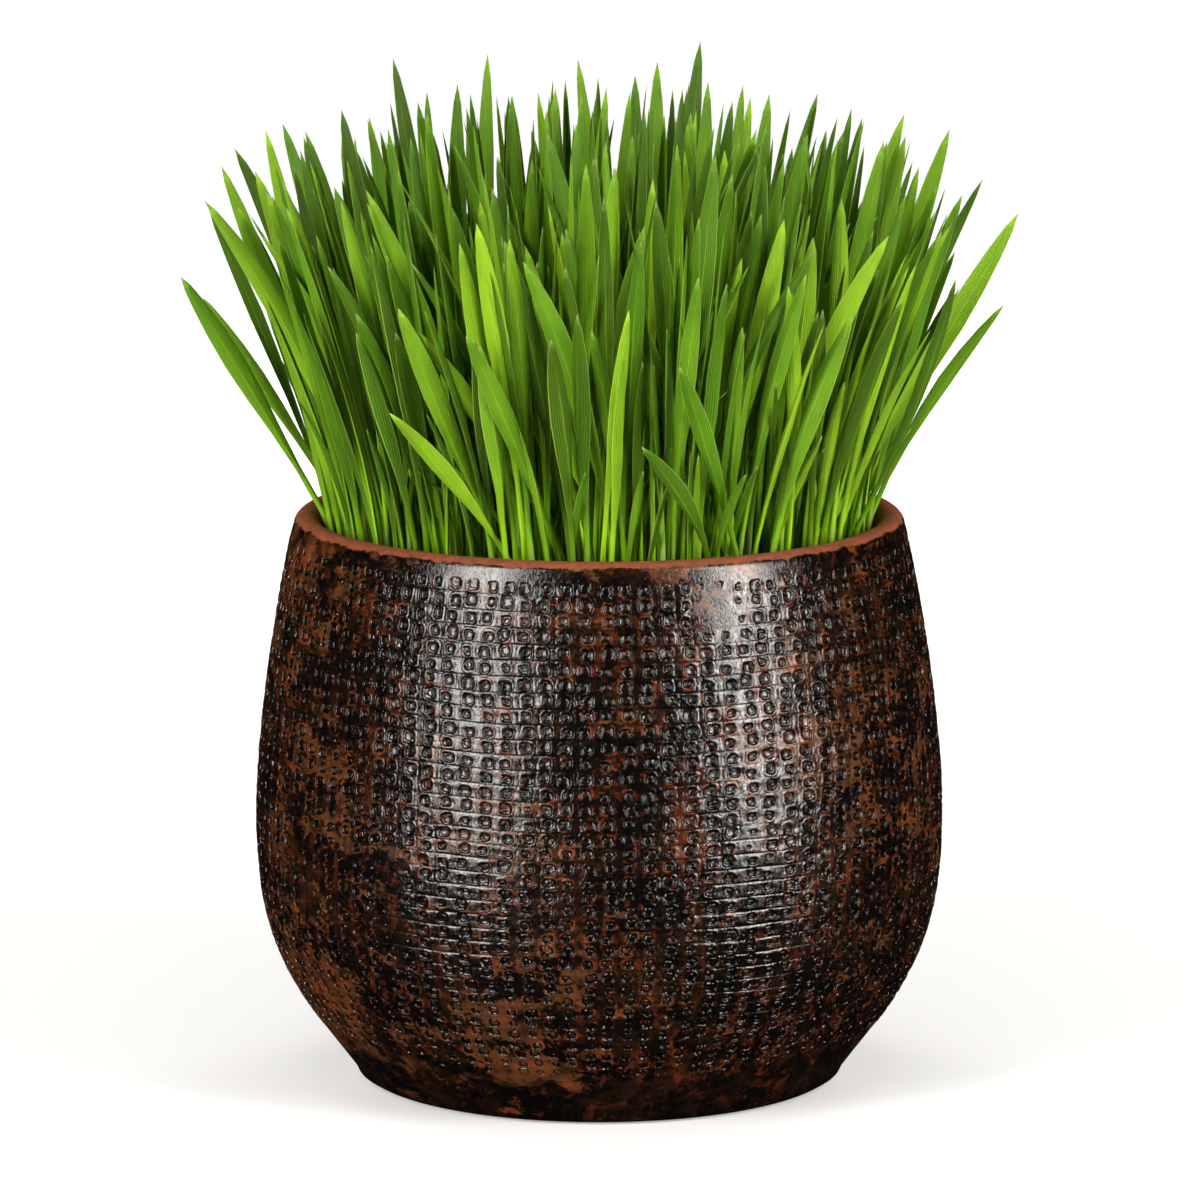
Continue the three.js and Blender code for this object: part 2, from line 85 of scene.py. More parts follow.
class Wire:
    """An output socket that takes part in Python expressions.

    An expression on numbers adds Math nodes, and one that holds a vector adds Vector Math
    nodes.
    """

    def __init__(self, graph: "Graph", socket: bpy.types.NodeSocket) -> None:
        """Wrap a socket of a graph."""
        self.graph = graph
        self.socket = socket

    @property
    def is_vector(self) -> bool:
        """Whether the socket carries a vector."""
        return self.socket.type == "VECTOR"

    def combine(self, operation: str, first: Number, second: Number) -> "Wire":
        """Join two values by a Math or a Vector Math node.

        Args:
            operation: The node's operation, as Blender names it.
            first: A number or a wire.
            second: A number or a wire.

        Returns:
            The result's wire.
        """
        vectors = [isinstance(v, Wire) and v.is_vector for v in (first, second)]
        if not any(vectors):
            values = {0: first, 1: second}
            return self.graph.wire("ShaderNodeMath", {"operation": operation}, values)
        if operation == "MULTIPLY" and not all(vectors):
            vector, scale = (first, second) if vectors[0] else (second, first)
            values = {0: vector, "Scale": scale}
            return self.graph.wire("ShaderNodeVectorMath", {"operation": "SCALE"}, values)
        values = {0: first, 1: second}
        return self.graph.wire("ShaderNodeVectorMath", {"operation": operation}, values)

    def __add__(self, other: Number) -> "Wire":
        """self + other."""
        return self.combine("ADD", self, other)

    def __radd__(self, other: Number) -> "Wire":
        """other + self."""
        return self.combine("ADD", other, self)

    def __sub__(self, other: Number) -> "Wire":
        """self - other."""
        return self.combine("SUBTRACT", self, other)

    def __rsub__(self, other: Number) -> "Wire":
        """other - self."""
        return self.combine("SUBTRACT", other, self)

    def __mul__(self, other: Number) -> "Wire":
        """self * other."""
        return self.combine("MULTIPLY", self, other)

    def __rmul__(self, other: Number) -> "Wire":
        """other * self."""
        return self.combine("MULTIPLY", other, self)

    def __truediv__(self, other: Number) -> "Wire":
        """self / other."""
        return self.combine("DIVIDE", self, other)

    def __pow__(self, other: Number) -> "Wire":
        """self raised to other."""
        return self.combine("POWER", self, other)

    def __abs__(self) -> "Wire":
        """The size of self."""
        return self.combine("ABSOLUTE", self, 0.0)

    def apply(self, operation: str) -> "Wire":
        """The result of a Math operation on this number alone."""
        return self.graph.wire("ShaderNodeMath", {"operation": operation}, {0: self})

    def least(self, other: Number) -> "Wire":
        """The smaller of self and other."""
        return self.combine("MINIMUM", self, other)

    def most(self, other: Number) -> "Wire":
        """The larger of self and other."""
        return self.combine("MAXIMUM", self, other)

    def rise(self, low: Number, high: Number) -> "Wire":
        """A smooth step from 0 at low to 1 at high, or down again where low is the higher.

        Args:
            low: Where the step starts.
            high: Where it is full.

        Returns:
            The step's wire.
        """
        values = {0: self, 1: low, 2: high, 3: 0.0, 4: 1.0}
        settings = {"interpolation_type": "SMOOTHSTEP"}
        return self.graph.wire("ShaderNodeMapRange", settings, values)


class Graph:
    """A node tree that is filled by expressions and by one method for any other node."""

    def __init__(self, tree: bpy.types.NodeTree) -> None:
        """Wrap a tree."""
        self.tree = tree

    def node(
        self,
        kind: str,
        settings: Optional[Mapping[str, Any]] = None,
        values: Optional[Mapping[Union[int, str], Any]] = None,
    ) -> bpy.types.Node:
        """Add a node, with its settings first and its sockets after them.

        Args:
            kind: The node's type.
            settings: Its properties by name.
            values: A number, a colour or a wire for each socket, by name or number.

        Returns:
            The node.
        """
        node = self.tree.nodes.new(kind)
        for name, setting in (settings or {}).items():
            setattr(node, name, setting)
        for key, value in (values or {}).items():
            if isinstance(value, Wire):
                self.tree.links.new(value.socket, node.inputs[key])
            else:
                node.inputs[key].default_value = value
        return node

    def wire(
        self,
        kind: str,
        settings: Optional[Mapping[str, Any]] = None,
        values: Optional[Mapping[Union[int, str], Any]] = None,
        output: Union[int, str] = 0,
    ) -> Wire:
        """Add a node and return one of its outputs as a wire.

        Args:
            kind: The node's type.
            settings: Its properties by name.
            values: What its sockets hold.
            output: The output's name or number.

        Returns:
            The output's wire.
        """
        return Wire(self, self.node(kind, settings, values).outputs[output])

    def vector(self, x: Number, y: Number, z: Number) -> Wire:
        """A vector of three numbers."""
        return self.wire("ShaderNodeCombineXYZ", None, {0: x, 1: y, 2: z})

    def parts(self, vector: Wire) -> tuple[Wire, Wire, Wire]:
        """The three numbers of a vector or a colour.

        Args:
            vector: The vector.

        Returns:
            Its x, y and z.
        """
        node = self.node("ShaderNodeSeparateXYZ", None, {0: vector})
        x, y, z = (Wire(self, output) for output in node.outputs)
        return (x, y, z)

    def vector_maths(self, operation: str, *vectors: Wire, output: int = 0) -> Wire:
        """The result of a Vector Math operation."""
        settings = {"operation": operation}
        return self.wire("ShaderNodeVectorMath", settings, dict(enumerate(vectors)), output)

    def noise(self, where: Wire, kind: Noise) -> Wire:
        """Smooth noise from 0 to 1.

        Args:
            where: The place it is read at.
            kind: What kind of noise it is.

        Returns:
            The noise.
        """
        values = {
            "Vector": where,
            "Scale": kind.scale,
            "Detail": kind.detail,
            "Roughness": kind.rough,
            "Distortion": kind.warp,
        }
        return self.wire("ShaderNodeTexNoise", {"noise_dimensions": "3D"}, values)

    def mix(self, share: Number, first: Any, second: Any) -> Wire:
        """A colour between two colours."""
        values = {0: share, 6: first, 7: second}
        return self.wire("ShaderNodeMix", {"data_type": "RGBA"}, values, output=2)

    def between(self, share: Number, first: Number, second: Number) -> Wire:
        """A number between two numbers."""
        values = {0: share, 2: first, 3: second}
        return self.wire("ShaderNodeMix", {"data_type": "FLOAT"}, values)


class Socket(Enum):
    """The kinds of input that a forming tree takes."""

    FLOAT = "NodeSocketFloat"
    COUNT = "NodeSocketInt"
    VECTOR = "NodeSocketVector"
    MATERIAL = "NodeSocketMaterial"


class FormTree(Graph):
    """A Geometry Nodes tree with named inputs for its sizes."""

    def __init__(self, name: str, inputs: Mapping[str, Socket]) -> None:
        """Make the tree and its inputs.

        Args:
            name: The tree's name.
            inputs: The kind of each input by name.
        """
        super().__init__(bpy.data.node_groups.new(name, "GeometryNodeTree"))
        face = self.tree.interface
        geometry = "NodeSocketGeometry"
        face.new_socket(name="Geometry", in_out="OUTPUT", socket_type=geometry)
        face.new_socket(name="Geometry", in_out="INPUT", socket_type=geometry)
        for label, kind in inputs.items():
            face.new_socket(name=label, in_out="INPUT", socket_type=kind.value)
        self.entry = self.node("NodeGroupInput")

    def given(self, label: str) -> Wire:
        """One of the tree's inputs."""
        return Wire(self, self.entry.outputs[label])

    def attribute(self, name: str, kind: str = "FLOAT") -> Wire:
        """A named attribute of the geometry at hand."""
        return self.wire("GeometryNodeInputNamedAttribute", {"data_type": kind}, {"Name": name})

    def store(self, geometry: Wire, name: str, value: Wire) -> Wire:
        """Geometry with a number kept on each of its points.

        Args:
            geometry: The geometry.
            name: The attribute that keeps the number.
            value: The number.

        Returns:
            The geometry with that attribute.
        """
        settings = {"data_type": "FLOAT", "domain": "POINT"}
        values = {"Geometry": geometry, "Name": name, "Value": value}
        return self.wire("GeometryNodeStoreNamedAttribute", settings, values)

    def moved(self, geometry: Wire, position: Wire) -> Wire:
        """Geometry with its points put at a position."""
        values = {"Geometry": geometry, "Position": position}
        return self.wire("GeometryNodeSetPosition", None, values)

    def pushed(self, geometry: Wire, offset: Wire) -> Wire:
        """Geometry with its points moved by an offset."""
        values = {"Geometry": geometry, "Offset": offset}
        return self.wire("GeometryNodeSetPosition", None, values)

    def real(self, geometry: Wire) -> Wire:
        """Geometry with its copies made plain meshes."""
        return self.wire("GeometryNodeRealizeInstances", None, {"Geometry": geometry})

    def copies(
        self,
        points: Wire,
        shape: Wire,
        scale: Optional[Wire] = None,
        turn: Optional[Wire] = None,
    ) -> Wire:
        """A copy of a shape on each point.

        Args:
            points: Where the copies stand.
            shape: What is copied.
            scale: The size of each copy, as a number or a vector.
            turn: The turn of each copy, as a vector of angles.

        Returns:
            The copies, not yet plain meshes.
        """
        values = {"Points": points, "Instance": shape}
        if scale is not None:
            values["Scale"] = scale
        if turn is not None:
            values["Rotation"] = turn
        return self.wire("GeometryNodeInstanceOnPoints", None, values)

    def draw(self, low: Number, high: Number, seed: Number) -> Wire:
        """A number by chance between two limits, another for each point."""
        values = {2: low, 3: high, "Seed": seed}
        return self.wire("FunctionNodeRandomValue", {"data_type": "FLOAT"}, values, output=1)

    def close(self, geometry: Wire, material: Wire) -> None:
        """End the tree in Realize Instances and Set Material.

        Args:
            geometry: What the tree has made.
            material: The material that it takes.
        """
        smooth = self.wire("GeometryNodeSetShadeSmooth", None, {"Geometry": geometry})
        values = {"Geometry": self.real(smooth), "Material": material}
        dressed = self.wire("GeometryNodeSetMaterial", None, values)
        self.node("NodeGroupOutput", None, {0: dressed})

    def form(self, name: str, base: bpy.types.Mesh, values: Mapping[str, Any]) -> bpy.types.Object:
        """Run the tree on a mesh and keep the plain result.

        Args:
            name: The new object's name.
            base: The mesh that the tree starts from.
            values: What each of the tree's inputs holds, by name.

        Returns:
            An object at the origin with the finished mesh and no modifier.
        """
        worker = bpy.data.objects.new(name + "_base", base)
        bpy.context.scene.collection.objects.link(worker)
        modifier = worker.modifiers.new("form", "NODES")
        modifier.node_group = self.tree
        for item in self.tree.interface.items_tree:
            if item.in_out == "INPUT" and item.name in values:
                modifier[item.identifier] = values[item.name]
        ready = bpy.context.evaluated_depsgraph_get()
        mesh = bpy.data.meshes.new_from_object(
            worker.evaluated_get(ready), preserve_all_data_layers=True, depsgraph=ready
        )
        mesh.name = name
        worker.modifiers.clear()
        bpy.data.objects.remove(worker)
        return place(name, mesh)


def place(name: str, mesh: bpy.types.Mesh) -> bpy.types.Object:
    """Link a mesh to the scene as an object at the origin.

    Args:
        name: The object's name.
        mesh: Its mesh, in place.

    Returns:
        The object.
    """
    piece = bpy.data.objects.new(name, mesh)
    bpy.context.scene.collection.objects.link(piece)
    return piece


def carry(mesh: bpy.types.Mesh, numbers: Mapping[str, np.ndarray]) -> None:
    """Keep attributes on the points of a mesh.

    Args:
        mesh: The mesh.
        numbers: For each attribute, one number or one row of three for each point.
    """
    for label, values in numbers.items():
        kind, slot = ("FLOAT", "value") if values.ndim == 1 else ("FLOAT_VECTOR", "vector")
        attribute = mesh.attributes.new(label, kind, "POINT")
        attribute.data.foreach_set(slot, np.ascontiguousarray(values, np.float32).ravel())


def points_mesh(
    name: str, points: np.ndarray, numbers: Mapping[str, np.ndarray]
) -> bpy.types.Mesh:
    """Make a mesh of loose points that carry attributes.

    Args:
        name: The mesh's name.
        points: One row of three for each point, in metres.
        numbers: For each attribute, one number or one row of three for each point.

    Returns:
        The mesh.
    """
    mesh = bpy.data.meshes.new(name)
    mesh.from_pydata(points.tolist(), [], [])
    carry(mesh, numbers)
    return mesh


def corner_places(node: bpy.types.Object) -> np.ndarray:
    """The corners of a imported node's mesh.

    Args:
        node: The node.

    Returns:
        One row of three for each corner, in millimetres.
    """
    flat = np.empty(len(node.data.vertices) * 3, np.float32)
    node.data.vertices.foreach_get("co", flat)
    return flat.reshape(-1, 3).astype(float) / MM


def tuft_names(nodes: Mapping[str, bpy.types.Object]) -> list[str]:
    """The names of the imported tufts, in order."""
    return sorted(name for name in nodes if name.startswith("grass_tuft"))


# Finishes


class Dressing(Graph):
    """The node tree of one material."""

    def __init__(self, name: str) -> None:
        """Make an empty material.

        Args:
            name: The material's name.
        """
        self.material = bpy.data.materials.new(name)
        self.material.use_nodes = True
        self.material.node_tree.nodes.clear()
        super().__init__(self.material.node_tree)

    def place(self) -> Wire:
        """The place on the object, in metres."""
        return self.wire("ShaderNodeTexCoord", None, None, "Object")

    def attribute(self, name: str) -> Wire:
        """A number that the mesh carries."""
        settings = {"attribute_type": "GEOMETRY", "attribute_name": name}
        return self.wire("ShaderNodeAttribute", settings, None, "Fac")

    def bump(self, height: Wire, reach: float) -> Wire:
        """The surface's direction with a relief on it, where height 1 stands reach high."""
        values = {"Height": height, "Distance": reach, "Strength": 1.0}
        return self.wire("ShaderNodeBump", None, values)

    def shader(self, **values: Any) -> Wire:
        """A Principled shader with those sockets, by name with underscores for spaces."""
        named = {label.replace("_", " "): value for label, value in values.items()}
        return self.wire("ShaderNodeBsdfPrincipled", None, named)

    def finish(self, shader: Wire) -> bpy.types.Material:
        """Join a shader to the output and return the material."""
        self.node("ShaderNodeOutputMaterial", None, {0: shader})
        return self.material


@dataclass(frozen=True)
class PitPattern:
    """Rows of small pits pressed into the planter's wall before firing.

    The same expressions shape the wall in a forming tree and shade it in a material, so that
    the two fall together. Lengths are in millimetres, and a span says where a step starts and
    where it is full.
    """

    around: int = 104
    rows: int = 36
    wide: float = 5.3
    high: float = 4.1
    stray: float = 0.26
    smallest: float = 1.0
    largest: float = 1.65
    squareness: float = 3.0
    edge: float = 0.35
    ring: float = 0.54
    rim_outside: Span = (1.0, 0.35)
    rim_inside: Span = (-0.1, 0.35)
    wobble: float = 1.35
    sway: float = 1.1
    drift: float = 0.5
    seed: float = 7.0
    pressed: Span = (0.27, 0.38)
    between_rows: Span = (0.36, 0.5)
    between_columns: Span = (0.38, 0.5)
    rows_shown: Span = (0.40, 0.60)
    columns_shown: Span = (0.46, 0.62)
    columns_share: float = 0.25
    sway_noise: Noise = Noise(14.0, 1.0)
    drift_noise: Noise = Noise(26.0, 1.0)
    wobble_noise: Noise = Noise(430.0, 2.0, 0.6)
    pressed_noise: Noise = Noise(33.0, 1.0)
    rows_noise: Noise = Noise(16.0, 1.0)
    columns_noise: Noise = Noise(21.0, 1.0)

    def at(self, graph: Graph, position: Wire, row: Wire) -> dict[str, Wire]:
        """The pattern at a place.

        Args:
            graph: The tree that takes the nodes.
            position: The place, in metres.
            row: How many rows down from the lip the place lies.

        Returns:
            hollow, 1 in a pit; ring, 1 in the furrow along its edge; rim, 1 on the raised edge
            outside it; and groove, 1 between two rows or columns.
        """
        x, y, _ = graph.parts(position)
        turn = x.combine("ARCTAN2", y, x) * (self.around / (2 * math.pi))
        across = turn + (graph.noise(position, self.sway_noise) - 0.5) * self.sway
        line = row + (graph.noise(position, self.drift_noise) - 0.5) * self.drift
        cell = graph.vector(across.apply("FLOOR"), line.apply("FLOOR"), self.seed)
        draw = graph.wire(
            "ShaderNodeTexWhiteNoise", {"noise_dimensions": "3D"}, {"Vector": cell}, output=1
        )
        luck, aside, above = graph.parts(draw)
        along = (across.apply("FRACT") - 0.5 - (aside - 0.5) * self.stray) * self.wide
        down = (line.apply("FRACT") - 0.5 - (above - 0.5) * self.stray) * self.high
        wobble = (graph.noise(position, self.wobble_noise) - 0.5) * self.wobble
        power = self.squareness
        reach = (abs(along) ** power + abs(down) ** power) ** (1 / power) + wobble
        pressed = graph.noise(position, self.pressed_noise).rise(*self.pressed)
        radius = (self.smallest + (self.largest - self.smallest) * luck) * pressed
        outside, inside = (
            reach.rise(radius + start, radius + full)
            for start, full in (self.rim_outside, self.rim_inside)
        )
        ring = abs(reach - radius + self.ring * 0.5).rise(self.ring, self.ring * 0.2)
        rows = abs(line.apply("FRACT") - 0.5).rise(*self.between_rows)
        rows = rows * graph.noise(position, self.rows_noise).rise(*self.rows_shown)
        columns = abs(across.apply("FRACT") - 0.5).rise(*self.between_columns)
        columns = columns * graph.noise(position, self.columns_noise).rise(*self.columns_shown)
        return {
            "hollow": reach.rise(radius + self.edge * 0.5, radius - self.edge),
            "ring": ring * pressed,
            "rim": outside * inside * pressed,
            "groove": rows.most(columns * self.columns_share),
        }


@dataclass(frozen=True)
class FiredClay:
    """Dark glaze that broke over bare clay, with a bare lip, inside and foot, and painted shade in
    the pits' furrows, in the grooves and down the inside.

    Heights and distances are in metres, and the reliefs and the glaze's edge in millimetres.
    A span says where a step starts and where it is full.
    """

    pits: PitPattern
    # Colours
    glaze: Colour = paint(7, 5, 3)
    umber: Colour = paint(40, 22, 10)
    brown: Colour = paint(82, 48, 23)
    rust: Colour = paint(114, 52, 23)
    terracotta: Colour = paint(154, 72, 27)
    # Darker clay, used both for the clay's grain and for the painted shade down the inside
    dark_clay_and_shade: Colour = paint(102, 50, 19)
    # Kinds of unevenness
    broad: Noise = Noise(15.0, 3.0, 0.55, 0.3)
    ragged: Noise = Noise(75.0, 6.0, 0.72, 0.2)
    mottle: Noise = Noise(130.0, 5.0, 0.75)
    thin: Noise = Noise(34.0, 6.0, 0.7)
    speck: Noise = Noise(240.0, 4.0, 0.75)
    streak: Noise = Noise(170.0, 4.0, 0.7)
    streaked: Noise = Noise(24.0, 2.0)
    border: Noise = Noise(190.0, 5.0, 0.7)
    grain: Noise = Noise(420.0, 4.0, 0.7)
    wrinkle: Noise = Noise(850.0, 3.0, 0.65, 1.6)
    # Where glaze lies, and how much of it
    flattened: float = 1.8
    drawn_out: float = 0.28
    glazed_from: Span = (0.71, 0.78)
    low_wall: Span = (0.07, 0.03)
    foot: Span = (0.018, 0.006)
    right_side: Span = (0.045, 0.085)
    under_lip: Span = (0.13, 0.11)
    lip_band: Span = (0.13, 0.15)
    glaze_edge: Span = (-1.6, -2.4)
    edge_wander: float = 4.0
    inside: Span = (-0.010, -0.014)
    broad_share: float = 0.62
    ragged_share: float = 1.05
    rim_thinner: float = 0.05
    ring_thicker: float = 0.05
    low_thinner: float = 0.06
    foot_thicker: float = 0.13
    right_thicker: float = 0.03
    lip_thinner: float = 0.05
    # Where a colour shows, and how strongly
    browned: Span = (0.36, 0.56)
    rusted: Span = (0.55, 0.64)
    thinned: Span = (0.44, 0.62)
    thin_patches: Span = (0.40, 0.58)
    specks: Span = (0.55, 0.62)
    streaks: Span = (0.54, 0.64)
    streak_areas: Span = (0.4, 0.6)
    earth_grain: Span = (0.25, 0.8)
    speck_wear: float = 0.2
    rim_wear: float = 0.5
    streak_wear: float = 0.3
    most_wear: float = 0.9
    # Painted shade in the pits' furrows and in the grooves between rows and columns, as shares of
    # the glaze's colour
    ring_painted_shade: float = 0.85
    groove_painted_shade: float = 0.5
    most_painted_shade: float = 0.95
    inside_painted_shade: float = 0.55
    # Relief and gloss
    rim_relief: float = 0.11
    ring_relief: float = 0.40
    hollow_relief: float = 0.15
    groove_relief: float = 0.11
    wrinkle_relief: float = 0.09
    grain_relief: float = 0.14
    clay_rough: float = 0.24
    glaze_rough: float = 0.15
    rough_wander: float = 0.1
    ring_rough: float = 0.12
    bare_rough: float = 0.85
    refraction: float = 1.6

    def _cover(self, g: Dressing, where: Wire, flat: Wire, pits: Mapping[str, Wire]) -> Wire:
        """How thick the glaze lies: thinner low down and by the lip, thicker on the foot.

        Args:
            g: The material's tree.
            where: The place on the object.
            flat: The same, squeezed so that noise lies in flat patches.
            pits: The pit pattern at that place.

        Returns:
            A number that is over the first of glazed_from where glaze covers the clay.
        """
        x, _, z = g.parts(where)
        cover = g.noise(where, self.broad) * self.broad_share
        cover = cover + g.noise(flat, self.ragged) * self.ragged_share
        cover = cover - pits["rim"] * self.rim_thinner + pits["ring"] * self.ring_thicker
        cover = cover - z.rise(*self.low_wall) * self.low_thinner
        cover = cover + z.rise(*self.foot) * self.foot_thicker
        right = x.rise(*self.right_side) * z.rise(*self.under_lip)
        cover = cover + right * self.right_thicker
        return cover - z.rise(*self.lip_band) * self.lip_thinner

    def material(self) -> bpy.types.Material:
        """The planter's material.

        Returns:
            A material that reads the attributes row, skin and down of the planter's mesh.
        """
        g = Dressing("glazed_clay")
        where = g.place()
        skin, down = g.attribute("skin"), g.attribute("down")
        pattern = self.pits.at(g, where, g.attribute("row"))
        pits = {name: depth * skin for name, depth in pattern.items()}
        ring, rim, groove = pits["ring"], pits["rim"], pits["groove"]
        x, y, z = g.parts(where)
        flat = g.vector(x, y, z * self.flattened)
        tall = g.vector(x, y, z * self.drawn_out)

        glazed = self._cover(g, where, flat, pits).rise(*self.glazed_from)
        mottle = g.noise(where, self.mottle)
        clay = g.mix(mottle.rise(*self.browned), self.umber, self.brown)
        clay = g.mix(mottle.rise(*self.rusted), clay, self.rust)
        thin = g.noise(flat, self.thin).rise(*self.thinned)
        dark = g.mix(thin * mottle.rise(*self.thin_patches), self.glaze, self.umber)
        wall = g.mix(glazed, clay, dark)
        speck = g.noise(where, self.speck).rise(*self.specks)
        streak = g.noise(tall, self.streak).rise(*self.streaks)
        streak = streak * g.noise(where, self.streaked).rise(*self.streak_areas)
        wear = speck * (self.speck_wear + rim * self.rim_wear) + streak * self.streak_wear
        wall = g.mix(wear.least(self.most_wear), wall, self.rust)
        # Painted shade: the furrows round the pits and the grooves are darkened toward the glaze's
        # colour
        painted_shade = (ring * self.ring_painted_shade + groove * self.groove_painted_shade).least(self.most_painted_shade)
        wall = g.mix(painted_shade, wall, self.glaze)

        border = (g.noise(where, self.border) - 0.5) * self.edge_wander
        bare = (down * (1 / MM) + border).rise(*self.glaze_edge)
        grain = g.noise(where, self.grain)
        earth = g.mix(grain.rise(*self.earth_grain), self.dark_clay_and_shade, self.terracotta)
        # Painted shade: the bare clay darkens further down the inside of the pot
        earth = g.mix(down.rise(*self.inside) * self.inside_painted_shade, earth, self.dark_clay_and_shade)
        colour = g.mix(bare, wall, earth)

        lip = down.rise(*(side * MM for side in self.glaze_edge))
        wrinkle = g.noise(where, self.wrinkle)
        relief = rim * self.rim_relief - ring * self.ring_relief
        relief = relief - pits["hollow"] * self.hollow_relief - groove * self.groove_relief
        relief = relief + (wrinkle - 0.5) * self.wrinkle_relief * (1.0 - lip)
        relief = relief + (grain - 0.5) * self.grain_relief * lip
        rough = g.between(glazed, self.clay_rough, self.glaze_rough)
        rough = rough + (wrinkle - 0.5) * self.rough_wander
        rough = g.between(ring, rough, self.ring_rough)
        rough = g.between(bare, rough, self.bare_rough)
        normal = g.bump(relief, MM)
        refraction = self.refraction
        shader = g.shader(Base_Color=colour, Roughness=rough, Normal=normal, IOR=refraction)
        return g.finish(shader)


@dataclass(frozen=True)
class LeafGreen:
    """Young grass: ribbed lengthwise, yellower in the stem, with a painted highlight along its
    edges and a dry point.

    Places along a blade are shares of the way up it, and places across are shares of the way
    from its middle to its edge. Tones and hues run from 0 to 1. A span says where a step starts
    and where it is full, and relief is in millimetres.
    """

    # Colours
    deep: Colour = paint(20, 54, 2)
    mid: Colour = paint(64, 126, 3)
    bright: Colour = paint(172, 224, 36)
    waxy: Colour = paint(82, 142, 30)
    stem: Colour = paint(158, 216, 24)
    sheath: Colour = paint(204, 212, 140)
    straw: Colour = paint(226, 222, 158)
    # Painted highlight along the blades' edges
    rim: Colour = paint(190, 220, 90)
    glow: Colour = paint(132, 188, 14)
    # Patterns
    blotch: Noise = Noise(48.0, 3.0)
    blotching: float = 0.5
    veins: float = 11.0
    fine_veins: float = 2.6
    hue_steps: float = 7.31
    # Where along, across or on the scale of tones a colour shows
    opening: Span = (0.16, 0.4)
    edge_highlight: Span = (0.90, 0.98)
    keel: Span = (0.14, 0.02)
    point: Span = (0.975, 0.998)
    lit: Span = (0.05, 0.75)
    lightest: Span = (0.45, 1.15)
    wax_hues: Span = (0.5, 0.95)
    wax_from: Span = (0.3, 0.7)
    keel_fade: Span = (0.97, 0.7)
    stem_up_to: Span = (0.45, 0.05)
    sheath_up_to: Span = (0.2, 0.0)
    sheath_hues: Span = (0.25, 0.8)
    midrib: Span = (0.2, 0.0)
    relief_fade: Span = (0.985, 0.93)
    # How strongly a colour shows
    wax_share: float = 0.6
    vein_share: float = 0.65
    vein_light: float = 0.30
    vein_dark: float = 0.28
    keel_light: float = 0.3
    margin_painted_highlight: float = 0.5
    stem_share: Span = (0.35, 0.5)
    sheath_share: float = 0.85
    straw_share: float = 0.45
    # Relief, gloss and the light that comes through
    vein_relief: float = 0.5
    fine_relief: float = 0.2
    midrib_relief: float = 0.6
    relief: float = 0.22
    rough: float = 0.42
    shine: float = 0.28
    through: float = 0.17

    def material(self) -> bpy.types.Material:
        """The blades' material.

        Returns:
            A material that reads the attributes across, along and tone of a blade.
        """
        g = Dressing("leaf_green")
        across, along, tone = g.attribute("across"), g.attribute("along"), g.attribute("tone")
        light = tone + (g.noise(g.place(), self.blotch) - 0.5) * self.blotching
        body = g.mix(light.rise(*self.lit), self.deep, self.mid)
        body = g.mix(light.rise(*self.lightest), body, self.bright)
        hue = (tone * self.hue_steps).apply("FRACT")
        wax = hue.rise(*self.wax_hues) * along.rise(*self.wax_from) * self.wax_share
        body = g.mix(wax, body, self.waxy)

        turn = across * (self.veins * math.pi)
        stripe = turn.apply("COSINE") * 0.5 + 0.5
        fine = (turn * self.fine_veins).apply("SINE") * 0.5 + 0.5
        leaf = along.rise(*self.opening)
        veins = stripe * self.vein_share + fine * (1 - self.vein_share)
        body = g.mix(veins * leaf * self.vein_light, body, self.bright)
        body = g.mix((1.0 - stripe) * leaf * self.vein_dark, body, self.deep)
        keel = abs(across).rise(*self.keel) * along.rise(*self.keel_fade)
        body = g.mix(keel * self.keel_light, body, self.bright)
        # Painted highlight: the blades' edges are lightened as if they catch the light
        edge_highlight = abs(across).rise(*self.edge_highlight) * leaf
        body = g.mix(edge_highlight * self.margin_painted_highlight, body, self.rim)

        least, more = self.stem_share
        body = g.mix(along.rise(*self.stem_up_to) * (least + tone * more), body, self.stem)
        sheath = along.rise(*self.sheath_up_to) * hue.rise(*self.sheath_hues)
        body = g.mix(sheath * self.sheath_share, body, self.sheath)
        body = g.mix(along.rise(*self.point) * self.straw_share, body, self.straw)

        relief = stripe * self.vein_relief + fine * self.fine_relief
        relief = relief + abs(across).rise(*self.midrib) * self.midrib_relief
        height = relief * leaf * along.rise(*self.relief_fade)
        normal = g.bump(height, self.relief * MM)
        skin = g.shader(
            Base_Color=body,
            Roughness=self.rough,
            Normal=normal,
            Specular_IOR_Level=self.shine,
        )
        veil = g.wire("ShaderNodeBsdfTranslucent", None, {"Color": self.glow})
        both = g.wire("ShaderNodeMixShader", None, {0: self.through, 1: skin, 2: veil})
        return g.finish(both)


@dataclass(frozen=True)
class DarkSoil:
    """Moist potting soil: dark crumbs with paler fibres."""

    dark: Colour = paint(30, 20, 14)
    light: Colour = paint(92, 66, 44)
    crumbs: Noise = Noise(260.0, 8.0, 0.7)
    fleck: Noise = Noise(900.0, 3.0, 0.6)
    paler: Span = (0.4, 0.75)
    flecked: Span = (0.62, 0.8)
    fleck_share: float = 0.5
    fleck_relief: float = 0.4
    rough: Span = (0.95, 0.8)
    relief: float = 0.8

    def material(self) -> bpy.types.Material:
        """The material of the soil, its crumbs and the root clumps.

        Returns:
            The material.
        """
        g = Dressing("potting_soil")
        where = g.place()
        crumbs, fleck = g.noise(where, self.crumbs), g.noise(where, self.fleck)
        colour = g.mix(crumbs.rise(*self.paler), self.dark, self.light)
        colour = g.mix(fleck.rise(*self.flecked) * self.fleck_share, colour, self.light)
        rough = g.between(crumbs, *self.rough)
        normal = g.bump(crumbs + fleck * self.fleck_relief, self.relief * MM)
        return g.finish(g.shader(Base_Color=colour, Roughness=rough, Normal=normal))


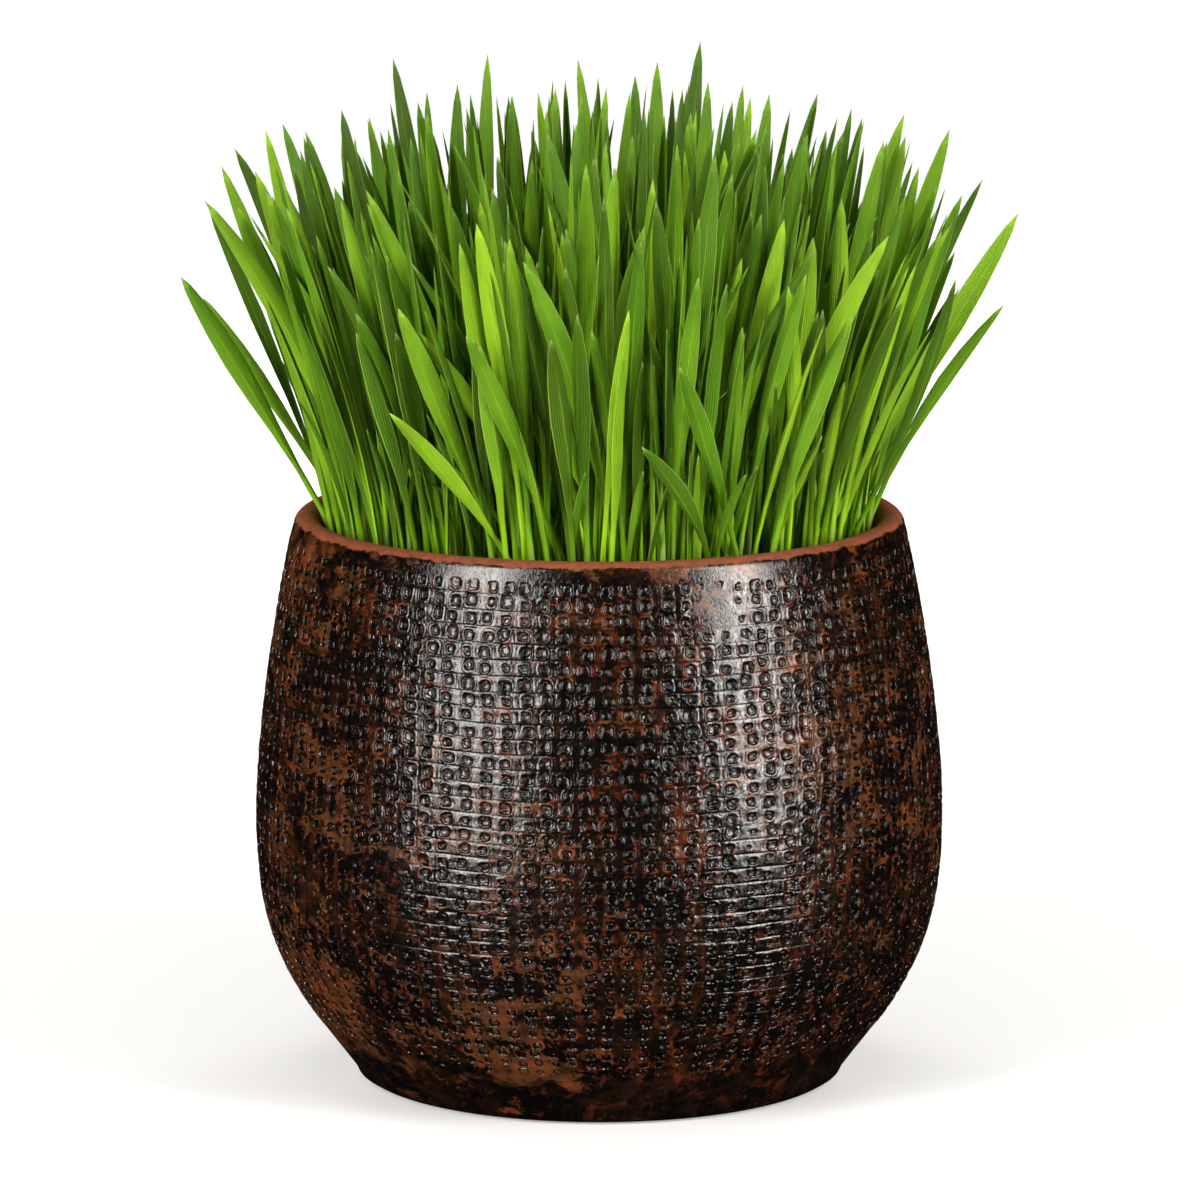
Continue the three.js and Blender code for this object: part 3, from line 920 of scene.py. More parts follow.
@dataclass(frozen=True)
class SeedHusk:
    """Dry straw-coloured skins of the sown seeds."""

    straw: Colour = paint(196, 168, 112)
    brown: Colour = paint(120, 84, 46)
    stain: Noise = Noise(300.0, 5.0, 0.65)
    stained: Span = (0.35, 0.7)
    rough: Span = (0.55, 0.8)
    relief: float = 0.3

    def material(self) -> bpy.types.Material:
        """The husks' material.

        Returns:
            The material.
        """
        g = Dressing("seed_husk")
        stain = g.noise(g.place(), self.stain)
        colour = g.mix(stain.rise(*self.stained), self.straw, self.brown)
        rough = g.between(stain, *self.rough)
        normal = g.bump(stain, self.relief * MM)
        return g.finish(g.shader(Base_Color=colour, Roughness=rough, Normal=normal))


# The planter


@dataclass
class Ring:
    """One level ring of the planter's mesh, in millimetres."""

    radius: float
    height: float
    row: float
    skin: float
    down: float


@dataclass
class Planter:
    """A turned pot with a round belly, a pressed wall, a rolled lip and a flat foot.

    Lengths are in millimetres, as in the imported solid. Each of foot_steps is a ring under the
    heel: its share of the way from the foot's edge out to the heel, its height, and how far on
    from the heel it lies.
    """

    foot_radius: float = 62.0
    heel: tuple[float, float] = (67.9, 3.0)
    belly: tuple[float, float] = (95.0, 72.0)
    rim: tuple[float, float] = (84.1, 154.0)
    top: float = 157.2
    wall: float = 7.2
    floor: float = 9.0
    low_pull: float = 18.9
    heel_lean: float = 0.72
    low_belly_pull: float = 38.9
    high_belly_pull: float = 27.9
    rim_pull: float = 3.0
    band_top: float = 15.5
    rings_per_row: int = 5
    columns_per_pit: int = 4
    band_start: float = 1.6
    band_pull: float = 0.1
    lip_steps: int = 12
    lip_arc: float = 0.9
    inner_heights: tuple[float, ...] = (40.0, 75.0, 110.0, 135.0, 146.0, 150.0)
    heel_steps: tuple[float, ...] = (0.25, 0.5, 0.75, 1.0)
    foot_steps: tuple[tuple[float, float, float], ...] = (
        (0.9, 1.5, 1.5),
        (0.62, 0.5, 3.0),
        (0.0, 0.0, 7.0),
    )
    underside: float = 0.6
    underside_on: float = 30.0
    fade_rings: int = 4
    face_steps: int = 400
    pit_depth: float = 0.5
    pit_rim: float = 0.22
    groove_depth: float = 0.16
    unevenness: float = 1.0
    uneven: Noise = Noise(22.0, 3.0)
    pits: PitPattern = field(default_factory=PitPattern)

    def _curve(self, corners: Sequence[tuple[float, float]], shares: np.ndarray) -> np.ndarray:
        """Points on a cubic curve.

        Args:
            corners: The curve's four corners, each a radius and a height.
            shares: How far along the curve each point lies, 0 to 1.

        Returns:
            One row of radius and height for each share.
        """
        a, b, c, d = (np.array(corner) for corner in corners)
        t = shares[:, None]
        return a * (1 - t) ** 3 + 3 * b * t * (1 - t) ** 2 + 3 * c * t**2 * (1 - t) + d * t**3

    def outside(self) -> np.ndarray:
        """The wall's outer face from the rim down to the heel, in fine even steps.

        Returns:
            One row of radius and height for each step.
        """
        shares = np.linspace(0, 1, self.face_steps)
        (heel, heel_up), (belly, belly_up), (rim, rim_up) = self.heel, self.belly, self.rim
        low = (
            self.heel,
            (heel + self.heel_lean * self.low_pull, heel_up + self.low_pull),
            (belly, belly_up - self.low_belly_pull),
            self.belly,
        )
        high = (
            self.belly,
            (belly, belly_up + self.high_belly_pull),
            (rim + self.rim_pull / 2, rim_up - self.rim_pull),
            self.rim,
        )
        points = np.vstack([self._curve(low, shares), self._curve(high, shares)[1:]])
        return points[::-1]

    def inside_radius(self, height: float) -> float:
        """The inner face's radius at a height.

        Args:
            height: The height.

        Returns:
            The radius.
        """
        face = self.outside()[::-1]
        slope = np.gradient(face, axis=0)
        slope /= np.linalg.norm(slope, axis=1)[:, None]
        inner = face + np.column_stack([-slope[:, 1], slope[:, 0]]) * self.wall
        return float(np.interp(height, inner[:, 1], inner[:, 0]))

    def _inner_rings(self) -> list[Ring]:
        """The rings of the inner face and of the lip.

        Returns:
            The rings, from the inner floor to just short of the rim's outer edge.
        """
        half = self.wall / 2
        middle, low = self.rim[0] - half, self.rim[1]
        rings = [
            Ring(self.inside_radius(height), height, 0.0, 0.0, height - low - self.wall)
            for height in (self.floor, *self.inner_heights, low)
        ]
        rings[-1].radius = middle - half
        for i in range(1, self.lip_steps):
            angle = math.pi * (1 - i / self.lip_steps)
            up = low + (self.top - low) * math.sin(angle)
            down = -half * angle * self.lip_arc
            rings.append(Ring(middle + half * math.cos(angle), up, 0.0, 0.0, down))
        return rings

    def rings(self) -> list[Ring]:
        """Every ring from the edge of the inner floor, over the lip, to under the foot.

        Returns:
            The rings in that order.
        """
        face = self.outside()
        steps = np.linalg.norm(np.diff(face, axis=0), axis=1)
        length = np.concatenate([[0], np.cumsum(steps)])
        end = float(length[-1])

        def on_face(along: float, row: float, skin: float) -> Ring:
            """The ring that lies along millimetres down the outer face."""
            radius, height = (float(np.interp(along, length, face[:, k])) for k in (0, 1))
            return Ring(radius, height, row, skin, along)

        first = self.band_start
        last = float(np.interp(-self.band_top, -face[:, 1], length))
        count, rows = self.pits.rows * self.rings_per_row, float(self.pits.rows)
        shares = np.linspace(0, 1, self.face_steps + 1)
        warped = shares - self.band_pull * shares * (1 - shares)
        rings = self._inner_rings()
        rings.append(Ring(*self.rim, 0.0, 0.0, 0.0))
        for i in range(count + 1):
            share = float(np.interp(i / count, warped, shares))
            skin = min(1.0, i / self.fade_rings, (count - i) / self.fade_rings)
            rings.append(on_face(first + (last - first) * share, rows * i / count, skin))
        rings.extend(on_face(last + (end - last) * share, rows, 0.0) for share in self.heel_steps)
        foot, spread = self.foot_radius, self.heel[0] - self.foot_radius
        for share, height, on in self.foot_steps:
            rings.append(Ring(foot + spread * share, height, rows, 0.0, end + on))
        rings.append(Ring(foot * self.underside, 0.0, rows, 0.0, end + self.underside_on))
        return rings

    def base_mesh(self) -> bpy.types.Mesh:
        """The turned body, closed at both ends.

        Returns:
            A mesh whose points carry row, skin, down and out, the way that the wall faces.
        """
        rings = self.rings()
        columns = self.pits.around * self.columns_per_pit
        angle = 2 * np.pi * np.arange(columns) / columns
        radius = np.array([ring.radius for ring in rings])
        height = np.array([ring.height for ring in rings])
        slope = np.gradient(np.column_stack([radius, height]), axis=0)
        slope /= np.linalg.norm(slope, axis=1)[:, None]
        ring_up = np.repeat(height[:, None], columns, axis=1)
        way_up = np.repeat(slope[:, 0:1], columns, axis=1)
        circle = np.stack([np.cos(angle), np.sin(angle)], axis=-1)
        points = np.dstack([radius[:, None, None] * circle, ring_up]).reshape(-1, 3) * MM
        out = np.dstack([-slope[:, 1, None, None] * circle, way_up]).reshape(-1, 3)
        row, skin, down = (
            np.repeat([getattr(ring, name) for ring in rings], columns)
            for name in ("row", "skin", "down")
        )
        count = len(rings) * columns
        points = np.vstack([points, [[0, 0, self.floor * MM], [0, 0, 0]]])
        numbers = {
            "row": np.append(row, [0, self.pits.rows]),
            "skin": np.append(skin, [0, 0]),
            "down": np.append(down, [-self.top, self.top * 2]) * MM,
            "out": np.vstack([out, [[0, 0, 1], [0, 0, -1]]]),
        }
        column = np.arange(columns)
        after = (column + 1) % columns
        faces: list[tuple[int, ...]] = []
        for start in range(0, count - columns, columns):
            below = start + columns
            corners = (start + column, below + column, below + after, start + after)
            faces.extend(map(tuple, np.column_stack(corners).tolist()))
        last = count - columns
        faces.extend((int(a), int(b), count) for a, b in zip(column, after))
        faces.extend((int(last + b), int(last + a), count + 1) for a, b in zip(column, after))
        mesh = bpy.data.meshes.new("planter_base")
        mesh.from_pydata(points.tolist(), [], faces)
        carry(mesh, numbers)
        return mesh

    def press_tree(self) -> FormTree:
        """The tree that presses the pits and the grooves into the wall.

        Returns:
            A tree that takes Depth, Lift, Groove and Material.
        """
        inputs = dict.fromkeys(("Depth", "Lift", "Groove"), Socket.FLOAT)
        tree = FormTree("press_pits", {**inputs, "Material": Socket.MATERIAL})
        position = tree.wire("GeometryNodeInputPosition")
        skin = tree.attribute("skin")
        pits = self.pits.at(tree, position, tree.attribute("row"))
        uneven = tree.noise(position, self.uneven) - 0.5
        amount = pits["rim"] * tree.given("Lift") - pits["hollow"] * tree.given("Depth")
        amount = amount - pits["groove"] * tree.given("Groove")
        amount = (amount + uneven * (self.unevenness * MM)) * skin
        offset = tree.attribute("out", "FLOAT_VECTOR") * amount
        pressed = tree.pushed(tree.given("Geometry"), offset)
        tree.close(pressed, tree.given("Material"))
        return tree

    def build(self) -> bpy.types.Object:
        """The planter's piece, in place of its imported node.

        Returns:
            The piece.
        """
        material = FiredClay(self.pits).material()
        sizes = {
            "Depth": self.pit_depth * MM,
            "Lift": self.pit_rim * MM,
            "Groove": self.groove_depth * MM,
            "Material": material,
        }
        piece = self.press_tree().form("planter", self.base_mesh(), sizes)
        piece.data.attributes.remove(piece.data.attributes["out"])
        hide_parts("pot")
        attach(piece, BODY)
        return piece


# The grass


@dataclass
class Blade:
    """A blade's path, from its foot over a pull to its tip, and its shape, in millimetres."""

    foot: np.ndarray
    pull: np.ndarray
    tip: np.ndarray
    width: float
    facing: float
    twist: float

    def middle(self, along: np.ndarray) -> np.ndarray:
        """The points of the path at shares of the way up, one row for each."""
        t = along[:, None]
        return self.foot * (1 - t) ** 2 + 2 * self.pull * t * (1 - t) + self.tip * t**2


@dataclass
class BladeShape:
    """How every blade is formed: a rolled foot that opens into a ribbed leaf with a point.

    Lengths are in millimetres, angles in radians, and places along a blade are shares of the
    way up it.
    """

    sides: int = 8
    segments: int = 9
    crowding: float = 1.45
    squaring: float = 0.68
    sink: float = 4.0
    sunk_to: float = 0.08
    rolled: float = 1.95
    rolled_to: float = 0.03
    roll_depth: float = 0.9
    thick: float = 0.34
    tip_thinning: float = 9.0
    edge_thinning: float = 0.45
    keel_softness: float = 0.006
    open_at: float = 0.26
    crease: float = 0.95
    flat_from: float = 0.38
    flat_at: float = 0.85
    leaf_from: float = 0.18
    leaf_full: float = 0.78
    narrow_from: float = 0.46
    roundness: float = 2.4
    pointing: float = 0.64
    fullest: float = 0.94
    folds: Span = (0.2, 0.45)
    fold_steps: float = 7.3
    places: tuple[str, ...] = ("foot", "pull", "tip")
    measures: tuple[str, ...] = ("width", "facing", "twist", "fold")

    def fullness(self, along: np.ndarray) -> np.ndarray:
        """How wide a leaf is on its way up.

        Args:
            along: Shares of the way up.

        Returns:
            The share of its full width that it has at each.
        """
        opening = np.clip((along - self.leaf_from) / (self.leaf_full - self.leaf_from), 0, 1)
        opening = opening**2 * (3 - 2 * opening)
        narrowing = np.clip((along - self.narrow_from) / (1 - self.narrow_from), 0, 1)
        return opening * (1 - narrowing**self.roundness) ** self.pointing / self.fullest

    def half_width(self, blade: Blade, along: np.ndarray) -> np.ndarray:
        """Half the width of a blade on its way up.

        Args:
            blade: The blade.
            along: Shares of the way up.

        Returns:
            Half its width at each.
        """
        leaf = self.fullness(along) * blade.width
        stem = self.rolled * np.clip(1 - along, 0, 1)
        return np.hypot(leaf, stem) / 2

    def tree(self) -> FormTree:
        """The tree that sets a cone on each point and forms it into that point's blade.

        Returns:
            A tree that takes Sides, Segments, Sink, Rolled, Thick and Material.
        """
        counts = dict.fromkeys(("Sides", "Segments"), Socket.COUNT)
        sizes = dict.fromkeys(("Sink", "Rolled", "Thick"), Socket.FLOAT)
        tree = FormTree("form_blades", {**counts, **sizes, "Material": Socket.MATERIAL})
        cone = tree.wire(
            "GeometryNodeMeshCone",
            {"fill_type": "NGON"},
            {
                "Vertices": tree.given("Sides"),
                "Side Segments": tree.given("Segments"),
                "Radius Top": 0.0,
                "Radius Bottom": 1.0,
                "Depth": 1.0,
            },
        )
        x, y, z = tree.parts(tree.wire("GeometryNodeInputPosition"))
        cone = tree.store(cone, "round", x.combine("ARCTAN2", y, x))
        cone = tree.store(cone, "along", 1.0 - (1.0 - z).most(0.0) ** self.crowding)
        stand = tree.real(tree.copies(tree.given("Geometry"), cone))

        foot, pull, tip = (tree.attribute(name, "FLOAT_VECTOR") for name in self.places)
        width, facing, twist, fold = (tree.attribute(name) for name in self.measures)
        t, angle = tree.attribute("along"), tree.attribute("round")
        rest = 1.0 - t
        middle = foot * (rest * rest) + pull * (t * rest * 2.0) + tip * (t * t)
        run = tree.vector_maths("NORMALIZE", (pull - foot) * rest + (tip - pull) * t)
        turn = facing + twist * t
        level = tree.vector(turn.apply("COSINE"), turn.apply("SINE"), 0.0)
        slant = tree.vector_maths("DOT_PRODUCT", level, run, output=1)
        across_way = tree.vector_maths("NORMALIZE", level - run * slant)
        keel_way = tree.vector_maths("CROSS_PRODUCT", run, across_way)

        narrowing = ((t - self.narrow_from) * (1 / (1 - self.narrow_from))).most(0.0)
        leaf = (1.0 - narrowing**self.roundness).most(0.0) ** self.pointing
        leaf = leaf * t.rise(self.leaf_from, self.leaf_full) * width * (1 / self.fullest)
        stem = tree.given("Rolled") * rest
        half = (leaf * leaf + stem * stem).apply("SQRT") * 0.5
        opened = t.rise(self.rolled_to, self.open_at)
        bend = tree.between(t.rise(self.flat_from, self.flat_at), self.crease, fold) * opened
        side, front = angle.apply("COSINE"), angle.apply("SINE")
        squared = side * (1.0 + self.squaring - side * side * self.squaring)
        side = tree.between(opened, side, squared)
        spread = (side * side + self.keel_softness).apply("SQRT")
        lift = (1.0 - spread) * half * bend.apply("TANGENT")
        thick = tree.between(opened, tree.given("Rolled") * self.roll_depth, tree.given("Thick"))
        thick = thick * (rest * self.tip_thinning).least(1.0)
        thick = thick * (1.0 - side * side * opened * self.edge_thinning)
        offset = across_way * (side * half)
        offset = offset + keel_way * (lift + front * thick * 0.5)
        drop = tree.vector(0.0, 0.0, t.rise(self.sunk_to, 0.0) * tree.given("Sink") * -1.0)
        stand = tree.moved(stand, middle + offset + drop)
        stand = tree.store(stand, "across", side)
        tree.close(stand, tree.given("Material"))
        return tree

    def form(
        self,
        tree: FormTree,
        name: str,
        blades: Sequence[Blade],
        tones: np.ndarray,
        material: bpy.types.Material,
    ) -> bpy.types.Object:
        """Form blades into one object.

        Args:
            tree: The tree that forms them.
            name: The object's name.
            blades: The blades.
            tones: How light each is, 0 to 1.
            material: The leaf material.

        Returns:
            The object.
        """
        numbers = {
            label: np.array([getattr(blade, label) for blade in blades])
            for label in ("foot", "pull", "tip", "width", "facing", "twist")
        }
        least, spread = self.folds
        numbers["fold"] = least + spread * np.modf(numbers["width"] * self.fold_steps)[0]
        for label in ("foot", "pull", "tip", "width"):
            numbers[label] = numbers[label] * MM
        numbers["tone"] = tones
        sizes = {
            "Sides": self.sides,
            "Segments": self.segments,
            "Sink": self.sink * MM,
            "Rolled": self.rolled * MM,
            "Thick": self.thick * MM,
            "Material": material,
        }
        points = points_mesh(name + "_points", numbers["foot"], numbers)
        piece = tree.form(name, points, sizes)
        for label in (*self.places, *self.measures, "round"):
            if label in piece.data.attributes:
                piece.data.attributes.remove(piece.data.attributes[label])
        return piece


@dataclass
class TuftReader:
    """Reads a tuft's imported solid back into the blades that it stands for."""

    crown_top: float = 146.4
    clearance: float = 0.3
    foot_depth: float = 0.1
    corners: int = 3

    def blades(self, node: bpy.types.Object) -> list[Blade]:
        """The blades of a tuft.

        Args:
            node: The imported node.

        Returns:
            One blade for each group of joined corners above the crown.
        """
        mesh = node.data
        loose = corner_places(node)
        _, first, merged = np.unique(
            np.round(loose, 2), axis=0, return_index=True, return_inverse=True
        )
        points = loose[first]
        corners = np.empty(len(mesh.polygons) * 3, np.int32)
        mesh.polygons.foreach_get("vertices", corners)
        faces = merged.ravel()[corners].reshape(-1, 3)
        edges = np.vstack([faces[:, [0, 1]], faces[:, [1, 2]], faces[:, [2, 0]]])
        above = points[:, 2] > self.crown_top + self.clearance
        edges = edges[above[edges].all(axis=1)]
        label = np.arange(len(points))
        while True:
            low = np.minimum(label[edges[:, 0]], label[edges[:, 1]])
            after = label.copy()
            np.minimum.at(after, edges[:, 0], low)
            np.minimum.at(after, edges[:, 1], low)
            if (after == label).all():
                break
            label = after
        groups = np.unique(label[above])
        return [self._blade(points[(label == group) & above]) for group in groups]

    def crown(self, node: bpy.types.Object) -> np.ndarray:
        """Where a tuft is rooted.

        Args:
            node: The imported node.

        Returns:
            The middle of the underside of its crown, in millimetres.
        """
        points = corner_places(node)
        low = points[:, 2] < points[:, 2].min() + self.foot_depth
        foot = np.unique(np.round(points[low], 2), axis=0)
        return (foot.min(axis=0) + foot.max(axis=0)) / 2

    def _blade(self, corners: np.ndarray) -> Blade:
        """Fit one blade to its sections' corners and its tip.

        Args:
            corners: One row of three for each corner, in any order.

        Returns:
            The blade.
        """
        ordered = corners[np.argsort(-corners[:, 2])]
        tip, sections = ordered[0], ordered[1:].reshape(-1, self.corners, 3)
        middles, halves, turns = [], [], []
        for section in sections[::-1]:
            next_, last = np.roll(section, -1, axis=0), np.roll(section, -2, axis=0)
            far = np.linalg.norm(next_ - last, axis=1)
            keel = int(np.argmax(far))
            middle = (next_[keel] + last[keel]) / 2
            rib = section[keel] - middle
            middles.append(middle)
            halves.append(max(far) / 2)
            turns.append(math.atan2(-rib[0], rib[1]))
        shares = (np.array([m[2] for m in middles]) - self.crown_top) / (tip[2] - self.crown_top)
        shares = np.append(shares, 1.0)
        path = np.vstack([middles, tip])
        fit_x = np.polyfit(shares, path[:, 0], 2)
        fit_y = np.polyfit(shares, path[:, 1], 2)
        foot = np.array([fit_x[2], fit_y[2], self.crown_top])
        pull = foot + np.array([fit_x[1] / 2, fit_y[1] / 2, (tip[2] - self.crown_top) / 2])
        twist, facing = np.polyfit(shares[:-1], np.unwrap(turns), 1)
        return Blade(foot, pull, tip, 2 * max(halves), facing, twist)


@dataclass
class Thicket:
    """The blades that already stand, as level slices, for finding room between them.

    Lengths are in millimetres.
    """

    shape: BladeShape
    low: float = 146.4
    step: float = 5.0
    levels: int = 27
    near: float = 11.0
    nothing_near: float = 99.0
    ends: list[np.ndarray] = field(default_factory=list)

    def slices(self, blade: Blade) -> np.ndarray:
        """Where a blade's left and right edges cross each level.

        Args:
            blade: The blade.

        Returns:
            A pair of points for each level, not a number above the blade's tip.
        """
        z = self.low + self.step * np.arange(self.levels)
        share = (z - blade.foot[2]) / (blade.tip[2] - blade.foot[2])
        middle = blade.middle(share)[:, :2]
        half = self.shape.half_width(blade, np.clip(share, 0, 1))[:, None]
        angle = blade.facing + blade.twist * share
        way = np.column_stack([np.cos(angle), np.sin(angle)])
        both = np.stack([middle - way * half, middle + way * half], axis=1)
        both[share > 1] = np.nan
        return both

    def add(self, blade: Blade) -> None:
        """Count a blade among those that stand."""
        self.ends.append(self.slices(blade))

    def gap(self, blade: Blade) -> float:
        """The least distance from a blade to those that stand.

        Args:
            blade: The blade.

        Returns:
            The distance, 0 where they cross, or nothing_near if none is near.
        """
        mine = self.slices(blade)
        others = np.stack(self.ends)
        apart = np.linalg.norm(others.mean(axis=2) - mine.mean(axis=1), axis=2)
        near, level = np.nonzero(apart < self.near)
        if not len(near):
            return self.nothing_near
        a, b = mine[level, 0], mine[level, 1]
        c, d = others[near, level, 0], others[near, level, 1]
        crossed = self._side(a, b, c) * self._side(a, b, d) < 0
        crossed &= self._side(c, d, a) * self._side(c, d, b) < 0
        if crossed.any():
            return 0.0
        ends = ((a, c, d), (b, c, d), (c, a, b), (d, a, b))
        return min(self._away(point, start, end) for point, start, end in ends)

    @staticmethod
    def _side(start: np.ndarray, end: np.ndarray, point: np.ndarray) -> np.ndarray:
        """On which side of their own lines points lie: above 0 on the left."""
        way, off = end - start, point - start
        return way[:, 0] * off[:, 1] - way[:, 1] * off[:, 0]

    @staticmethod
    def _away(point: np.ndarray, start: np.ndarray, end: np.ndarray) -> float:
        """The least distance from points to their own segments.

        Args:
            point: One row for each point.
            start: Where each segment starts.
            end: Where each segment ends.

        Returns:
            The distance.
        """
        way = end - start
        share = ((point - start) * way).sum(axis=1) / np.maximum((way**2).sum(axis=1), 1e-9)
        nearest = start + way * np.clip(share, 0, 1)[:, None]
        return float(np.linalg.norm(point - nearest, axis=1).min())


@dataclass
class Stand:
    """The whole stand of grass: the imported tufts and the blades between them.

    Lengths are in millimetres and angles in radians.
    """

    soil_top: float = 146.0
    mouth: float = 74.5
    lip_top: float = 158.5
    lip_inside: float = 76.0
    lip_share: float = 0.6
    lip_checks: int = 24
    canopy_base: float = 143.0
    canopy_height: float = 130.0
    canopy_radius: float = 131.0
    canopy_reach: float = 97.0
    canopy_share: float = 0.93
    canopy_edge: float = 0.97
    fan: float = 1.34
    stray: float = 12.0
    stray_least: float = 0.6
    stray_more: float = 3.4
    stray_power: float = 1.9
    shorter: float = 0.66
    shorter_power: float = 1.5
    least_reach: float = 0.35
    narrowest: float = 2.3
    wider: float = 4.0
    wider_power: float = 1.1
    wider_if_tall: float = 1.6
    lean: Span = (0.22, 0.42)
    twist: float = 0.9
    tone_by_chance: float = 0.86
    fill: int = 470
    tries: int = 20
    room: float = 0.25
    sectors: int = 6
    seed: int = 41
    shape: BladeShape = field(default_factory=BladeShape)
    reader: TuftReader = field(default_factory=TuftReader)

    def _canopy(self, distance: float) -> float:
        """How high tips may reach at a distance from the axis."""
        share = min(distance / self.canopy_radius, self.canopy_edge)
        return self.canopy_base + self.canopy_height * math.sqrt(1 - share**4)

    def _chance_blade(self, random: np.random.Generator) -> Blade:
        """A blade by chance, rooted anywhere in the soil.

        Args:
            random: The source of chance.

        Returns:
            The blade.
        """
        out = self.mouth * math.sqrt(random.random())
        turn = random.uniform(0, 2 * math.pi)
        foot = np.array([out * math.cos(turn), out * math.sin(turn), self.soil_top])
        far = random.random() ** self.stray_power
        wander = self.stray * (self.stray_least + self.stray_more * far)
        heading = random.uniform(0, 2 * math.pi)
        end = foot[:2] * self.fan + wander * np.array([math.cos(heading), math.sin(heading)])
        end *= min(1.0, self.canopy_reach / max(1e-6, float(np.hypot(*end))))
        tall = 1 - self.shorter * random.random() ** self.shorter_power
        rise = self._canopy(float(np.hypot(*end))) - self.canopy_base
        height = self.canopy_base + rise * tall * self.canopy_share
        reach = self.least_reach + (1 - self.least_reach) * tall
        end = foot[:2] + (end - foot[:2]) * reach
        broad = random.random() ** self.wider_power * tall**self.wider_if_tall
        width = self.narrowest + self.wider * broad
        facing = math.atan2(end[1], end[0]) + math.pi / 2 + (random.random() - 0.5) * math.pi
        if -math.sin(facing) * end[0] + math.cos(facing) * end[1] < 0:
            facing += math.pi
        tip = np.array([end[0], end[1], height])
        middle = foot[:2] + (end - foot[:2]) * random.uniform(*self.lean)
        pull = np.array([*(2 * middle - (foot[:2] + end) / 2), (self.soil_top + height) / 2])
        return Blade(foot, pull, tip, width, facing, random.uniform(-self.twist, self.twist))

    def _tones(self, blades: Sequence[Blade], random: np.random.Generator) -> np.ndarray:
        """How light each blade is: mostly by chance, with the outer ones a little lighter as
        painted light.

        Args:
            blades: The blades.
            random: The source of chance.

        Returns:
            One number from 0 to 1 for each blade.
        """
        # Painted light: blades rooted nearer the wall are made a little lighter
        outer_painted_light = np.array([np.hypot(*blade.foot[:2]) for blade in blades]) / self.mouth
        chance = self.tone_by_chance
        return random.random(len(blades)) * chance + outer_painted_light * (1 - chance)

    def _in_mouth(self, blade: Blade) -> bool:
        """Whether a blade stays off the wall and the lip until it is over them.

        Args:
            blade: The blade.

        Returns:
            True where it does.
        """
        shares = np.linspace(0, 1, self.lip_checks)
        path = blade.middle(shares)
        low = path[:, 2] < self.lip_top
        half = self.shape.half_width(blade, shares) * self.lip_share
        return bool((np.hypot(path[low, 0], path[low, 1]) + half[low] < self.lip_inside).all())

    def _sector(self, blade: Blade) -> int:
        """The number of the sector that a blade is rooted in."""
        turn = math.atan2(blade.foot[1], blade.foot[0]) / (2 * math.pi) + 0.5
        return int(turn * self.sectors) % self.sectors

    def build(self, nodes: Mapping[str, bpy.types.Object]) -> list[bpy.types.Object]:
        """Form every tuft again and fill in between.

        Args:
            nodes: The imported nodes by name.

        Returns:
            The pieces.
        """
        random = np.random.default_rng(self.seed)
        material = LeafGreen().material()
        tree = self.shape.tree()
        thicket = Thicket(self.shape)
        tufts = {name: self.reader.blades(nodes[name]) for name in tuft_names(nodes)}
        pieces = []
        for node, blades in tufts.items():
            for blade in blades:
                thicket.add(blade)
            name = node.replace("grass_tuft", "leaves")
            piece = self.shape.form(tree, name, blades, self._tones(blades, random), material)
            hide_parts(node)
            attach(piece, BODY)
            pieces.append(piece)
        LOG.info("tufts: %d blades", sum(map(len, tufts.values())))
        added: list[Blade] = []
        for _ in range(self.fill * self.tries):
            if len(added) >= self.fill:
                break
            blade = self._chance_blade(random)
            if self._in_mouth(blade) and thicket.gap(blade) > self.room:
                thicket.add(blade)
                added.append(blade)
        LOG.info("between: %d blades", len(added))
        for k in range(self.sectors):
            mine = [blade for blade in added if self._sector(blade) == k]
            name = f"leaves_between_{k + 1}"
            piece = self.shape.form(tree, name, mine, self._tones(mine, random), material)
            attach(piece, BODY)
            pieces.append(piece)
        return pieces


# The soil


